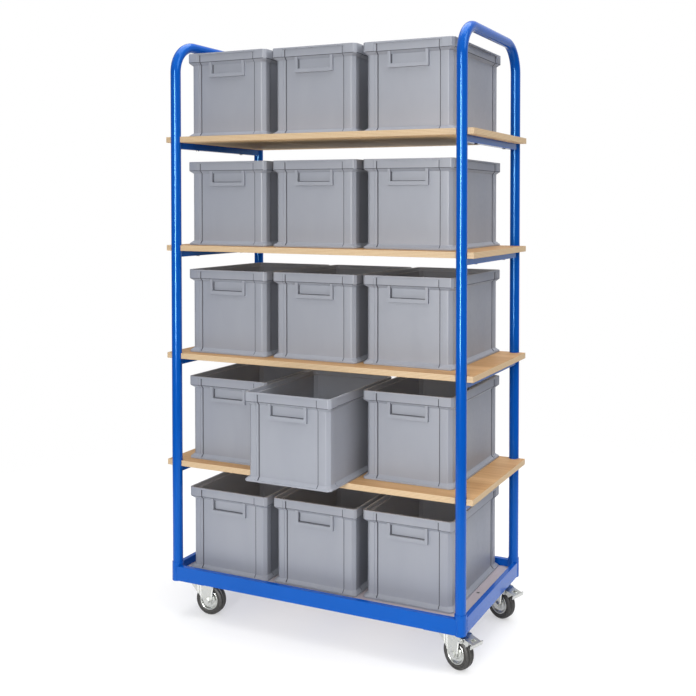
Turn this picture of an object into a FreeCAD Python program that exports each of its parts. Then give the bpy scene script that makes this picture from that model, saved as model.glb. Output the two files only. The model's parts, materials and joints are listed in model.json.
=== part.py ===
"""Order picking trolley: tube frame on four swivel casters, plywood shelves, stacking crates.

X runs along the length, Y to the back and Z up; the origin lies on the floor under the
middle of the base. Lengths are in millimetres and angles in degrees.
"""
import FreeCAD
import Part
import Sketcher

import os
import re

SIZES = {
    # Room beside the crates, between the posts along a row and across it
    "row_room": 67,
    "depth_room": 56,
    # Bent tube hoop at each end
    "hoop_rise": 314,
    "bend_radius": 90,
    "post_dia": 32,
    "post_wall": 2,
    # Welded base frame
    "rail_height": 46,
    "rail_width": 15,
    "rail_wall": 2,
    "rail_inset": 1,
    "socket_wall": 2,
    "socket_rise": 11,
    "socket_drop": 3.5,
    "socket_floor": 3,
    "post_fit": 0.15,
    "weld_gap": 0.1,
    # Deck board in the base, on flat bearers
    "deck_drop": 23,
    "deck_thick": 12,
    "deck_gap": 1,
    "bearer_width": 50,
    "bearer_thick": 8,
    "bearer_offset": 335,
    "ledge_width": 50,
    "ledge_length": 240,
    "ledge_screw_inset": 38,
    # Plywood shelves on cross bars
    "shelf_rise": 366,
    "level_height": 350,
    "shelf_thick": 18,
    "shelf_overhang": 37.5,
    "shelf_lip": 2,
    "notch_gap": 1.5,
    "bar_height": 20,
    "bar_width": 20,
    "bar_wall": 1.5,
    # Wood screws
    "screw_dia": 5,
    "screw_head_dia": 10,
    "screw_head_high": 2.6,
    "screw_bite": 12,
    "screw_gap": 0.2,
    "screw_tip": 4,
    "screw_offset": 120,
    # Caster top plate, its corner plate and bolts
    "caster_inset_x": 56,
    "caster_inset_y": 48,
    "corner_plate_thick": 4,
    "corner_plate_margin": 3,
    "corner_plate_setback": 6,
    "plate_length": 105,
    "plate_width": 85,
    "plate_thick": 3,
    "plate_corner": 8,
    "bolt_spacing_x": 75,
    "bolt_spacing_y": 45,
    "bolt_dia": 8,
    "bolt_flats": 13,
    "bolt_head_high": 5.3,
    "nut_high": 6.5,
    "bolt_tip": 2,
    # Swivel head
    "race_dia": 54,
    "race_bore": 30,
    "race_height": 6,
    "swivel_gap": 0.3,
    "king_dia": 12,
    "king_head_dia": 20,
    "king_head_high": 5,
    "head_dia": 60,
    # Fork
    "caster_trail": 38,
    "fork_gap": 42,
    "fork_thick": 2.5,
    "fork_skirt": 12,
    "fork_boss": 15,
    "crown_thick": 3,
    "crown_front": 20,
    "crown_tail": 22,
    "crown_clearance": 4.7,
    # Wheel
    "wheel_dia": 100,
    "tyre_width": 32,
    "tyre_shoulder": 7,
    "tyre_crown": 2,
    "rim_dia": 66,
    "rim_width": 28,
    "rim_lip": 3,
    "tyre_seat": 0.1,
    "dish_depth": 5,
    "hub_dia": 24,
    "hub_play": 0.5,
    "axle_dia": 10,
    "axle_flats": 17,
    "axle_head_high": 6,
    "axle_nut_high": 8,
    "axle_tip": 3,
    "running_fit": 0.06,
    "press_fit": 0.02,
    # Brake pedal of the two right-hand casters
    "pedal_pivot_back": 28,
    "pedal_pivot_drop": 10,
    "pedal_pin_dia": 6,
    "pedal_pin_head": 9,
    "pedal_pin_head_high": 2,
    "pedal_ear": 8,
    "pedal_slope": 12,
    "pedal_reach": 40,
    "pedal_width": 38,
    "pedal_thick": 2.5,
    "pedal_lift": 5.5,
    "pedal_cheek": 2,
    "pedal_slot_length": 12,
    "pedal_slot_width": 16,
    "foot_bar_width": 52,
    "foot_bar_high": 11,
    "foot_bar_thick": 3,
    "shoe_gap": 6,
    "shoe_depth": 9,
    "shoe_bearing": 40,
    "shoe_spread": 7,
    "shoe_width": 26,
    # How far each caster is turned about its kingpin
    "turn_front_left": 3,
    "turn_front_right": -20,
    "turn_rear_left": -10,
    "turn_rear_right": -20,
    # Stacking crate
    "crate_width": 300,
    "crate_depth": 400,
    "crate_height": 270,
    "crate_corner": 8,
    "crate_foot_high": 5,
    "crate_inset": 9,
    "crate_wall_corner": 11,
    "crate_rim_high": 29,
    "crate_wall": 6.5,
    "crate_floor": 4,
    "crate_lip": 7,
    "crate_lip_deep": 12,
    "crate_bead": 5,
    "crate_column": 38,
    "crate_border": 8,
    "crate_step": 2,
    "crate_panel": 4,
    "grip_width": 134,
    "grip_high": 50,
    "grip_frame": 9.5,
    "grip_sill": 12,
    "grip_stand": 9,
    # Crates on the levels
    "crate_space": 16.5,
    "crate_row_shift": -15.5,
    "crate_setback": 47.5,
    "crate_row_skew": 10.5,
    "crate_pull": 150.5,
    "crate_seat": 0.3,
}

# Places that several pieces share, as expressions of the sizes
CROWN_BOTTOM = "(wheel_dia + crown_clearance)"
CROWN_TOP = f"({CROWN_BOTTOM} + crown_thick)"
RACE_BOTTOM = f"({CROWN_TOP} + swivel_gap)"
PLATE_BOTTOM = f"({RACE_BOTTOM} + race_height)"
PLATE_TOP = f"({PLATE_BOTTOM} + plate_thick)"
RAIL_BOTTOM = f"({PLATE_TOP} + corner_plate_thick)"
RAIL_TOP = f"({RAIL_BOTTOM} + rail_height)"
DECK_TOP = f"({RAIL_TOP} - deck_drop)"
DECK_BOTTOM = f"({DECK_TOP} - deck_thick)"
SHELF_TOP = f"({DECK_TOP} + shelf_rise)"
SHELF_BOTTOM = f"({SHELF_TOP} - shelf_thick)"
HOOP_SPACING = "(3 * crate_width + 2 * crate_space + row_room)"
HOOP_WIDTH = "(crate_depth + depth_room)"
POST_X = f"({HOOP_SPACING} / 2)"
POST_Y = f"({HOOP_WIDTH} / 2)"
SOCKET_RADIUS = "(post_dia / 2 + post_fit + socket_wall)"
SOCKET_BOTTOM = f"({RAIL_BOTTOM} - socket_drop)"
RAIL_FACE_X = f"({POST_X} + {SOCKET_RADIUS} - rail_inset)"
RAIL_FACE_Y = f"({POST_Y} + {SOCKET_RADIUS} - rail_inset)"
RAIL_BACK_X = f"({RAIL_FACE_X} - rail_width)"
RAIL_BACK_Y = f"({RAIL_FACE_Y} - rail_width)"
LEDGE_SCREW_X = f"({RAIL_BACK_X} - ledge_screw_inset)"
SHELF_HALF_X = f"({POST_X} + shelf_overhang)"
SHELF_HALF_Y = f"({POST_Y} + shelf_lip)"
KING_X = f"({POST_X} - caster_inset_x)"
KING_Y = f"({POST_Y} - caster_inset_y)"
AXLE_Z = "(wheel_dia / 2)"
FORK_OUTER = "(fork_gap / 2 + fork_thick)"
CROWN_REAR = "(caster_trail + crown_tail)"
PIVOT_X = "(caster_trail + pedal_pivot_back)"
PIVOT_Z = f"({CROWN_TOP} - pedal_pivot_drop)"
CRATE_WALL_BOTTOM = "(crate_foot_high + crate_inset)"
CRATE_RIM_BOTTOM = "(crate_height - crate_rim_high)"
CRATE_WALL_TOP = f"({CRATE_RIM_BOTTOM} - crate_inset)"
CRATE_PITCH = "(crate_width + crate_space)"
CRATE_Y = f"(crate_depth / 2 + crate_setback - {SHELF_HALF_Y})"

SIZE_NAME = re.compile(r"[a-z][a-z0-9]*(?:_[a-z0-9]+)+")

doc = FreeCAD.newDocument("order_picking_trolley")
sheet = doc.addObject("Spreadsheet::Sheet", "Sizes")
for row, (size_name, size) in enumerate(SIZES.items(), start=1):
    sheet.set(f"A{row}", size_name)
    sheet.set(f"B{row}", str(size))
    sheet.setAlias(f"B{row}", size_name)
doc.recompute()


def value(expression):
    """Number that an expression of the sizes has now."""
    return float(sheet.evalExpression(expression))


def bind(target, prop, expression):
    """Tie a property to an expression of the sizes."""
    target.setExpression(prop, SIZE_NAME.sub(lambda m: "Sizes." + m.group(0), expression))


def new_body(label):
    """Empty body with its own label."""
    body = doc.addObject("PartDesign::Body", label)
    body.Label = label
    return body


def datum(body, role):
    """Origin plane or axis of a body."""
    return next(f for f in body.Origin.OriginFeatures if f.Role == role)


def new_sketch(body, role, away="0", across="0", up="0"):
    """Sketch on an origin plane, moved off it by away and within it by across and up."""
    sketch = body.newObject("Sketcher::SketchObject", "Sketch")
    sketch.AttachmentSupport = [(datum(body, role), "")]
    sketch.MapMode = "FlatFace"
    for axis, expression in (("x", across), ("y", up), ("z", away)):
        bind(sketch, f"AttachmentOffset.Base.{axis}", expression)
    return sketch


def place_point(sketch, geometry, vertex, x, y):
    """Hold one point of a sketch at expressions of the sizes."""
    for kind, expression in (("DistanceX", x), ("DistanceY", y)):
        rule = Sketcher.Constraint(kind, -1, 1, geometry, vertex, value(expression))
        index = sketch.addConstraint(rule)
        bind(sketch, f"Constraints[{index}]", expression)


def outline(sketch, points):
    """Closed straight-sided outline through points given as pairs of expressions."""
    corners = [FreeCAD.Vector(value(x), value(y), 0) for x, y in points]
    sides = []
    for start, end in zip(corners, corners[1:] + corners[:1]):
        sides.append(sketch.addGeometry(Part.LineSegment(start, end), False))
    for side, following in zip(sides, sides[1:] + sides[:1]):
        sketch.addConstraint(Sketcher.Constraint("Coincident", side, 2, following, 1))
    for side, (x, y) in zip(sides, points):
        place_point(sketch, side, 1, x, y)


def rectangle(sketch, x0, y0, x1, y1):
    """Rectangle between two opposite corners."""
    outline(sketch, [(x0, y0), (x1, y0), (x1, y1), (x0, y1)])


def circle(sketch, x, y, radius):
    """Circle with its centre and radius tied to the sizes."""
    centre = FreeCAD.Vector(value(x), value(y), 0)
    shape = Part.Circle(centre, FreeCAD.Vector(0, 0, 1), value(radius))
    index = sketch.addGeometry(shape, False)
    place_point(sketch, index, 3, x, y)
    rule = sketch.addConstraint(Sketcher.Constraint("Radius", index, value(radius)))
    bind(sketch, f"Constraints[{rule}]", radius)


def hexagon(sketch, x, y, flats):
    """Hexagon of a bolt head or nut with the given width across flats."""
    half, reach = f"{flats} / 2", f"{flats} / sqrt(3)"
    offsets = [("0", reach), (half, f"{reach} / 2"), (half, f"-({reach}) / 2")]
    offsets += [("0", f"-({reach})"), (f"-({half})", f"-({reach}) / 2"), (f"-({half})", f"{reach} / 2")]
    outline(sketch, [(f"{x} + {dx}", f"{y} + {dy}") for dx, dy in offsets])


def octagon(sketch, inset, corner):
    """Crate outline drawn in by inset, with its corners cut off."""
    half_x, half_y = f"(crate_width / 2 - {inset})", f"(crate_depth / 2 - {inset})"
    short_x, short_y = f"({half_x} - {corner})", f"({half_y} - {corner})"
    quarter = [(half_x, short_y), (short_x, half_y)]
    points = quarter + [(f"-{x}", y) for x, y in reversed(quarter)]
    points += [(f"-{x}", f"-{y}") for x, y in quarter]
    points += [(x, f"-{y}") for x, y in reversed(quarter)]
    outline(sketch, points)


def pad(body, sketch, length, taper=0):
    """Solid pulled off a sketch along its normal."""
    feature = body.newObject("PartDesign::Pad", "Pad")
    feature.Profile = sketch
    feature.TaperAngle = taper
    bind(feature, "Length", length)
    return feature


def pocket(body, sketch, depth=None, forward=False):
    """Cut against a sketch's normal, right through unless a depth is given."""
    feature = body.newObject("PartDesign::Pocket", "Pocket")
    feature.Profile = sketch
    feature.Reversed = forward
    if depth is None:
        feature.Type = "ThroughAll"
    else:
        bind(feature, "Length", depth)
    return feature


def revolve(body, sketch, axis):
    """Full turn of a sketch about one of its own axes."""
    feature = body.newObject("PartDesign::Revolution", "Revolution")
    feature.Profile = sketch
    feature.ReferenceAxis = (sketch, [axis])
    feature.Angle = 360
    return feature


def repeat(body, features, mirrors=(), rows=()):
    """Repeat features by mirror planes and by rows of (axis, length, count)."""
    steps = []
    for role in mirrors:
        step = body.newObject("PartDesign::Mirrored", "Mirrored")
        step.MirrorPlane = (datum(body, role), [""])
        steps.append(step)
    for role, length, count in rows:
        step = body.newObject("PartDesign::LinearPattern", "Row")
        step.Direction = (datum(body, role), [""])
        step.Occurrences = count
        bind(step, "Length", length)
        steps.append(step)
    pattern = body.newObject("PartDesign::MultiTransform", "Pattern")
    pattern.Originals = features
    pattern.Transformations = steps
    body.Tip = pattern
    return pattern


def copy_of(source, label):
    """Body that repeats another body and takes its own placement."""
    body = new_body(label)
    base = body.newObject("PartDesign::FeatureBase", "Copy")
    base.BaseFeature = source
    return body


def mirror_of(source, label, normal):
    """Mirror image of a body across a plane through the origin."""
    image = doc.addObject("Part::Mirroring", label)
    image.Label = label
    image.Source = source
    image.Normal = FreeCAD.Vector(*normal)
    return image


# Base frame: four box section rails coped to the corner sockets
front_rail = new_body("front_rail")
profile = new_sketch(front_rail, "YZ_Plane", f"-{POST_X}")
rectangle(profile, f"-{RAIL_FACE_Y}", RAIL_BOTTOM, f"-{RAIL_BACK_Y}", RAIL_TOP)
rectangle(profile, f"-{RAIL_FACE_Y} + rail_wall", f"{RAIL_BOTTOM} + rail_wall",
          f"-{RAIL_BACK_Y} - rail_wall", f"{RAIL_TOP} - rail_wall")
pad(front_rail, profile, HOOP_SPACING)
cope = new_sketch(front_rail, "XY_Plane", f"{RAIL_TOP} + rail_wall")
circle(cope, POST_X, f"-{POST_Y}", f"{SOCKET_RADIUS} + weld_gap")
circle(cope, f"-{POST_X}", f"-{POST_Y}", f"{SOCKET_RADIUS} + weld_gap")
pocket(front_rail, cope)
rear_rail = mirror_of(front_rail, "rear_rail", (0, 1, 0))

right_rail = new_body("right_rail")
profile = new_sketch(right_rail, "XZ_Plane", f"-{POST_Y}")
rectangle(profile, RAIL_BACK_X, RAIL_BOTTOM, RAIL_FACE_X, RAIL_TOP)
rectangle(profile, f"{RAIL_BACK_X} + rail_wall", f"{RAIL_BOTTOM} + rail_wall",
          f"{RAIL_FACE_X} - rail_wall", f"{RAIL_TOP} - rail_wall")
pad(right_rail, profile, HOOP_WIDTH)
cope = new_sketch(right_rail, "XY_Plane", f"{RAIL_TOP} + rail_wall")
circle(cope, POST_X, POST_Y, f"{SOCKET_RADIUS} + weld_gap")
circle(cope, POST_X, f"-{POST_Y}", f"{SOCKET_RADIUS} + weld_gap")
pocket(right_rail, cope)
left_rail = mirror_of(right_rail, "left_rail", (1, 0, 0))

# Closed-bottom sockets that take the feet of the hoops
post_sockets = new_body("post_sockets")
profile = new_sketch(post_sockets, "XZ_Plane", POST_Y, POST_X)
outline(profile, [
    ("0", SOCKET_BOTTOM),
    (SOCKET_RADIUS, SOCKET_BOTTOM),
    (SOCKET_RADIUS, f"{RAIL_TOP} + socket_rise"),
    (f"{SOCKET_RADIUS} - socket_wall", f"{RAIL_TOP} + socket_rise"),
    (f"{SOCKET_RADIUS} - socket_wall", f"{SOCKET_BOTTOM} + socket_floor"),
    ("0", f"{SOCKET_BOTTOM} + socket_floor"),
])
cup = revolve(post_sockets, profile, "V_Axis")
repeat(post_sockets, [cup], mirrors=("YZ_Plane", "XZ_Plane"))

# Corner plates under the rails, drilled for the casters
corner_plates = new_body("corner_plates")
profile = new_sketch(corner_plates, "XY_Plane", PLATE_TOP)
rectangle(profile, f"{KING_X} - plate_length / 2 - corner_plate_margin",
          f"{KING_Y} - plate_width / 2 - corner_plate_margin",
          f"{RAIL_FACE_X} - corner_plate_setback", f"{RAIL_FACE_Y} - corner_plate_setback")
sheet_pad = pad(corner_plates, profile, "corner_plate_thick")
drilling = new_sketch(corner_plates, "XY_Plane", f"{RAIL_BOTTOM} + corner_plate_thick")
circle(drilling, POST_X, POST_Y, f"{SOCKET_RADIUS} + weld_gap")
BOLT_PLACES = [(f"{KING_X} {sx} bolt_spacing_x / 2", f"{KING_Y} {sy} bolt_spacing_y / 2")
               for sx in "+-" for sy in "+-"]
for x, y in BOLT_PLACES:
    circle(drilling, x, y, "bolt_dia / 2 + screw_gap")
cut = pocket(corner_plates, drilling, "3 * corner_plate_thick")
repeat(corner_plates, [sheet_pad, cut], mirrors=("YZ_Plane", "XZ_Plane"))

# Deck board on three flat bearers and two side ledges
deck_bearers = new_body("deck_bearers")
profile = new_sketch(deck_bearers, "XY_Plane", f"{DECK_BOTTOM} - bearer_thick")
rectangle(profile, "-bearer_width / 2", f"-{RAIL_BACK_Y}", "bearer_width / 2", RAIL_BACK_Y)
for side in ("", "-"):
    middle = f"{side}bearer_offset"
    rectangle(profile, f"{middle} - bearer_width / 2", f"-{RAIL_BACK_Y}",
              f"{middle} + bearer_width / 2", RAIL_BACK_Y)
pad(deck_bearers, profile, "bearer_thick")
SCREW_PLACES = [(f"{sx}bearer_offset", f"{sy}screw_offset") for sx in ("", "-") for sy in ("", "-")]
drilling = new_sketch(deck_bearers, "XY_Plane", DECK_TOP)
for x, y in SCREW_PLACES:
    circle(drilling, x, y, "screw_dia / 2 + screw_gap")
pocket(deck_bearers, drilling)

deck_ledges = new_body("deck_ledges")
profile = new_sketch(deck_ledges, "XY_Plane", f"{DECK_BOTTOM} - bearer_thick")
rectangle(profile, f"{RAIL_BACK_X} - ledge_width", "-ledge_length / 2", RAIL_BACK_X, "ledge_length / 2")
rectangle(profile, f"-{RAIL_BACK_X}", "-ledge_length / 2", f"-{RAIL_BACK_X} + ledge_width", "ledge_length / 2")
pad(deck_ledges, profile, "bearer_thick")
LEDGE_PLACES = [(f"{sx}{LEDGE_SCREW_X}", "0") for sx in ("", "-")]
drilling = new_sketch(deck_ledges, "XY_Plane", DECK_TOP)
for x, y in LEDGE_PLACES:
    circle(drilling, x, y, "screw_dia / 2 + screw_gap")
pocket(deck_ledges, drilling)

base_deck = new_body("base_deck")
profile = new_sketch(base_deck, "XY_Plane", DECK_BOTTOM)
rectangle(profile, f"-{RAIL_BACK_X} + deck_gap", f"-{RAIL_BACK_Y} + deck_gap",
          f"{RAIL_BACK_X} - deck_gap", f"{RAIL_BACK_Y} - deck_gap")
pad(base_deck, profile, "deck_thick")
corners = new_sketch(base_deck, "XY_Plane", RAIL_TOP)
for sx in ("", "-"):
    for sy in ("", "-"):
        circle(corners, f"{sx}{POST_X}", f"{sy}{POST_Y}", f"{SOCKET_RADIUS} + deck_gap")
for x, y in SCREW_PLACES + LEDGE_PLACES:
    circle(corners, x, y, "screw_dia / 2 + screw_gap")
pocket(base_deck, corners)
sinks = new_sketch(base_deck, "XY_Plane", DECK_TOP)
for x, y in SCREW_PLACES + LEDGE_PLACES:
    circle(sinks, x, y, "screw_head_dia / 2 + screw_gap")
pocket(base_deck, sinks, "screw_head_high + screw_gap")

# Flat-headed deck screws, sunk just under the surface
deck_screws = new_body("deck_screws")
DECK_SCREW_TOP = f"({DECK_TOP} - screw_gap)"
DECK_SCREW_END = f"({DECK_BOTTOM} - bearer_thick - screw_tip)"
shanks = new_sketch(deck_screws, "XY_Plane", DECK_SCREW_END)
heads = new_sketch(deck_screws, "XY_Plane", f"{DECK_SCREW_TOP} - screw_head_high")
for x, y in SCREW_PLACES + LEDGE_PLACES:
    circle(shanks, x, y, "screw_dia / 2")
    circle(heads, x, y, "screw_head_dia / 2")
pad(deck_screws, shanks, f"{DECK_SCREW_TOP} - {DECK_SCREW_END}")
pad(deck_screws, heads, "screw_head_high")

# End hoops: one tube bent twice, its two feet standing in the sockets
right_hoop = new_body("right_hoop")
FOOT_Z = f"({SOCKET_BOTTOM} + socket_floor)"
TOP_Z = f"({SHELF_TOP} + 3 * level_height + hoop_rise - post_dia / 2)"
BEND_Z = f"({TOP_Z} - bend_radius)"
BEND_Y = f"({POST_Y} - bend_radius)"
spine = new_sketch(right_hoop, "YZ_Plane", POST_X)
runs = []
for start, end in (((f"-{POST_Y}", FOOT_Z), (f"-{POST_Y}", BEND_Z)),
                   ((f"-{BEND_Y}", TOP_Z), (BEND_Y, TOP_Z)),
                   ((POST_Y, BEND_Z), (POST_Y, FOOT_Z))):
    ends = [FreeCAD.Vector(value(y), value(z), 0) for y, z in (start, end)]
    runs.append(spine.addGeometry(Part.LineSegment(*ends), False))
    place_point(spine, runs[-1], 1, *start)
    place_point(spine, runs[-1], 2, *end)
QUARTER = value("90 * pi / 180")
for before, after, centre, turn in ((runs[0], runs[1], f"-{BEND_Y}", QUARTER), (runs[1], runs[2], BEND_Y, 0)):
    middle = FreeCAD.Vector(value(centre), value(BEND_Z), 0)
    arc_circle = Part.Circle(middle, FreeCAD.Vector(0, 0, 1), value("bend_radius"))
    arc = spine.addGeometry(Part.ArcOfCircle(arc_circle, turn, turn + QUARTER), False)
    spine.addConstraint(Sketcher.Constraint("Coincident", arc, 2, before, 2))
    spine.addConstraint(Sketcher.Constraint("Coincident", arc, 1, after, 1))
    rule = spine.addConstraint(Sketcher.Constraint("Radius", arc, value("bend_radius")))
    bind(spine, f"Constraints[{rule}]", "bend_radius")
ring = new_sketch(right_hoop, "XY_Plane", FOOT_Z)
circle(ring, POST_X, f"-{POST_Y}", "post_dia / 2")
circle(ring, POST_X, f"-{POST_Y}", "post_dia / 2 - post_wall")
tube = right_hoop.newObject("PartDesign::AdditivePipe", "Tube")
tube.Profile = ring
tube.Spine = spine
left_hoop = mirror_of(right_hoop, "left_hoop", (1, 0, 0))

# Cross bars that carry the shelves, coped between the posts of each hoop
right_shelf_bars = new_body("right_shelf_bars")
BAR_BOTTOM = f"({SHELF_BOTTOM} - bar_height)"
profile = new_sketch(right_shelf_bars, "XZ_Plane", f"-{POST_Y}")
rectangle(profile, f"{POST_X} - bar_width / 2", BAR_BOTTOM, f"{POST_X} + bar_width / 2", SHELF_BOTTOM)
rectangle(profile, f"{POST_X} - bar_width / 2 + bar_wall", f"{BAR_BOTTOM} + bar_wall",
          f"{POST_X} + bar_width / 2 - bar_wall", f"{SHELF_BOTTOM} - bar_wall")
bar = pad(right_shelf_bars, profile, HOOP_WIDTH)
cope = new_sketch(right_shelf_bars, "XY_Plane", f"{SHELF_BOTTOM} + bar_wall")
for sy in ("", "-"):
    circle(cope, POST_X, f"{sy}{POST_Y}", "post_dia / 2 + weld_gap")
    circle(cope, POST_X, f"{sy}screw_offset", "screw_dia / 2 + screw_gap")
cut = pocket(right_shelf_bars, cope, "bar_height + 2 * bar_wall")
repeat(right_shelf_bars, [bar, cut], rows=[("Z_Axis", "3 * level_height", 4)])
left_shelf_bars = mirror_of(right_shelf_bars, "left_shelf_bars", (1, 0, 0))

# Plywood shelves, notched round the posts
shelf_1 = new_body("shelf_1")
profile = new_sketch(shelf_1, "XY_Plane", SHELF_BOTTOM)
rectangle(profile, f"-{SHELF_HALF_X}", f"-{SHELF_HALF_Y}", SHELF_HALF_X, SHELF_HALF_Y)
pad(shelf_1, profile, "shelf_thick")
NOTCH = "(post_dia / 2 + notch_gap)"
rounds = new_sketch(shelf_1, "XY_Plane", SHELF_TOP)
mouths = new_sketch(shelf_1, "XY_Plane", SHELF_TOP)
pilots = new_sketch(shelf_1, "XY_Plane", SHELF_BOTTOM)
for sx in ("", "-"):
    post = f"{sx}{POST_X}"
    for sy in ("", "-"):
        circle(rounds, post, f"{sy}{POST_Y}", NOTCH)
        rectangle(mouths, f"{post} - {NOTCH}", f"{sy}{POST_Y}", f"{post} + {NOTCH}", f"{sy}({SHELF_HALF_Y} + {NOTCH})")
        circle(pilots, post, f"{sy}screw_offset", "screw_dia / 2 + screw_gap")
pocket(shelf_1, rounds)
pocket(shelf_1, mouths)
pocket(shelf_1, pilots, "screw_bite + screw_gap", forward=True)
shelves = [shelf_1]
for level in (2, 3, 4):
    shelf = copy_of(shelf_1, f"shelf_{level}")
    bind(shelf, "Placement.Base.z", f"{level - 1} * level_height")
    shelves.append(shelf)

# Shelf screws, driven up through the cross bars
shelf_screws = new_body("shelf_screws")
profile = new_sketch(shelf_screws, "XZ_Plane", "screw_offset", POST_X)
outline(profile, [
    ("0", f"{BAR_BOTTOM} - screw_head_high"),
    ("screw_head_dia / 2", f"{BAR_BOTTOM} - screw_head_high"),
    ("screw_head_dia / 2", BAR_BOTTOM),
    ("screw_dia / 2", BAR_BOTTOM),
    ("screw_dia / 2", f"{SHELF_BOTTOM} + screw_bite"),
    ("0", f"{SHELF_BOTTOM} + screw_bite"),
])
screw = revolve(shelf_screws, profile, "V_Axis")
repeat(shelf_screws, [screw], mirrors=("YZ_Plane", "XZ_Plane"), rows=[("Z_Axis", "3 * level_height", 4)])

# Caster top plates with their ball race, bolted up to the corner plates
caster_plates = new_body("caster_plates")
profile = new_sketch(caster_plates, "XY_Plane", PLATE_BOTTOM)
plate_x, plate_y = "plate_length / 2", "plate_width / 2"
outline(profile, [
    (f"{KING_X} + {plate_x}", f"{KING_Y} + {plate_y} - plate_corner"),
    (f"{KING_X} + {plate_x} - plate_corner", f"{KING_Y} + {plate_y}"),
    (f"{KING_X} - {plate_x} + plate_corner", f"{KING_Y} + {plate_y}"),
    (f"{KING_X} - {plate_x}", f"{KING_Y} + {plate_y} - plate_corner"),
    (f"{KING_X} - {plate_x}", f"{KING_Y} - {plate_y} + plate_corner"),
    (f"{KING_X} - {plate_x} + plate_corner", f"{KING_Y} - {plate_y}"),
    (f"{KING_X} + {plate_x} - plate_corner", f"{KING_Y} - {plate_y}"),
    (f"{KING_X} + {plate_x}", f"{KING_Y} - {plate_y} + plate_corner"),
])
plate = pad(caster_plates, profile, "plate_thick")
profile = new_sketch(caster_plates, "XY_Plane", RACE_BOTTOM)
circle(profile, KING_X, KING_Y, "race_dia / 2")
circle(profile, KING_X, KING_Y, "race_bore / 2")
race = pad(caster_plates, profile, "race_height")
drilling = new_sketch(caster_plates, "XY_Plane", RAIL_BOTTOM)
circle(drilling, KING_X, KING_Y, "king_dia / 2 + press_fit")
for x, y in BOLT_PLACES:
    circle(drilling, x, y, "bolt_dia / 2 + screw_gap")
cut = pocket(caster_plates, drilling, "corner_plate_thick + 2 * plate_thick")
repeat(caster_plates, [plate, race, cut], mirrors=("YZ_Plane", "XZ_Plane"))

caster_bolts = new_body("caster_bolts")
heads = new_sketch(caster_bolts, "XY_Plane", f"{PLATE_BOTTOM} - bolt_head_high")
shanks = new_sketch(caster_bolts, "XY_Plane", PLATE_BOTTOM)
nuts = new_sketch(caster_bolts, "XY_Plane", RAIL_BOTTOM)
for x, y in BOLT_PLACES:
    hexagon(heads, x, y, "bolt_flats")
    circle(shanks, x, y, "bolt_dia / 2")
    hexagon(nuts, x, y, "bolt_flats")
bolts = [
    pad(caster_bolts, heads, "bolt_head_high"),
    pad(caster_bolts, shanks, "plate_thick + corner_plate_thick + nut_high + bolt_tip"),
    pad(caster_bolts, nuts, "nut_high"),
]
repeat(caster_bolts, bolts, mirrors=("YZ_Plane", "XZ_Plane"))

kingpins = new_body("kingpins")
HEAD_TOP = f"({CROWN_BOTTOM} - swivel_gap)"
profile = new_sketch(kingpins, "XZ_Plane", f"-{KING_Y}", KING_X)
outline(profile, [
    ("0", f"{HEAD_TOP} - king_head_high"),
    ("king_head_dia / 2", f"{HEAD_TOP} - king_head_high"),
    ("king_head_dia / 2", HEAD_TOP),
    ("king_dia / 2", HEAD_TOP),
    ("king_dia / 2", PLATE_TOP),
    ("0", PLATE_TOP),
])
pin = revolve(kingpins, profile, "V_Axis")
repeat(kingpins, [pin], mirrors=("YZ_Plane", "XZ_Plane"))

# Pressed fork: crown, swivel head and two trailing cheeks, drawn about its kingpin axis
plain_fork = new_body("plain_fork")
crown = new_sketch(plain_fork, "XY_Plane", CROWN_BOTTOM)
rectangle(crown, "-crown_front", f"-{FORK_OUTER}", CROWN_REAR, FORK_OUTER)
pad(plain_fork, crown, "crown_thick")
head = new_sketch(plain_fork, "XY_Plane", CROWN_BOTTOM)
circle(head, "0", "0", "head_dia / 2")
pad(plain_fork, head, "crown_thick")
side = new_sketch(plain_fork, "XZ_Plane", f"-{FORK_OUTER}")
outline(side, [
    ("-crown_front", CROWN_TOP),
    ("-crown_front", f"{CROWN_TOP} - fork_skirt"),
    ("caster_trail - fork_boss", AXLE_Z),
    ("caster_trail + fork_boss", AXLE_Z),
    (CROWN_REAR, f"{CROWN_TOP} - fork_skirt"),
    (CROWN_REAR, CROWN_TOP),
])
cheek = pad(plain_fork, side, "fork_thick")
end = new_sketch(plain_fork, "XZ_Plane", f"-{FORK_OUTER}")
circle(end, "caster_trail", AXLE_Z, "fork_boss")
boss = pad(plain_fork, end, "fork_thick")
repeat(plain_fork, [cheek, boss], mirrors=("XZ_Plane",))
bore = new_sketch(plain_fork, "XY_Plane", f"{CROWN_TOP} + crown_thick")
circle(bore, "0", "0", "king_dia / 2 + running_fit")
pocket(plain_fork, bore)
bore = new_sketch(plain_fork, "XZ_Plane", f"{FORK_OUTER} + fork_thick")
circle(bore, "caster_trail", AXLE_Z, "axle_dia / 2 + press_fit")
pocket(plain_fork, bore)

# The braked fork has an ear behind the crown for the pedal's pin
braked_fork = copy_of(plain_fork, "braked_fork")
web = new_sketch(braked_fork, "XZ_Plane", f"-{FORK_OUTER}")
rectangle(web, f"{CROWN_REAR} - fork_boss", f"{PIVOT_Z} - pedal_ear", PIVOT_X, f"{PIVOT_Z} + pedal_ear")
ear_web = pad(braked_fork, web, "fork_thick")
eye = new_sketch(braked_fork, "XZ_Plane", f"-{FORK_OUTER}")
circle(eye, PIVOT_X, PIVOT_Z, "pedal_ear")
ear_eye = pad(braked_fork, eye, "fork_thick")
repeat(braked_fork, [ear_web, ear_eye], mirrors=("XZ_Plane",))
bore = new_sketch(braked_fork, "XZ_Plane", f"{FORK_OUTER} + fork_thick")
circle(bore, PIVOT_X, PIVOT_Z, "pedal_pin_dia / 2 + press_fit")
pocket(braked_fork, bore)

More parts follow.
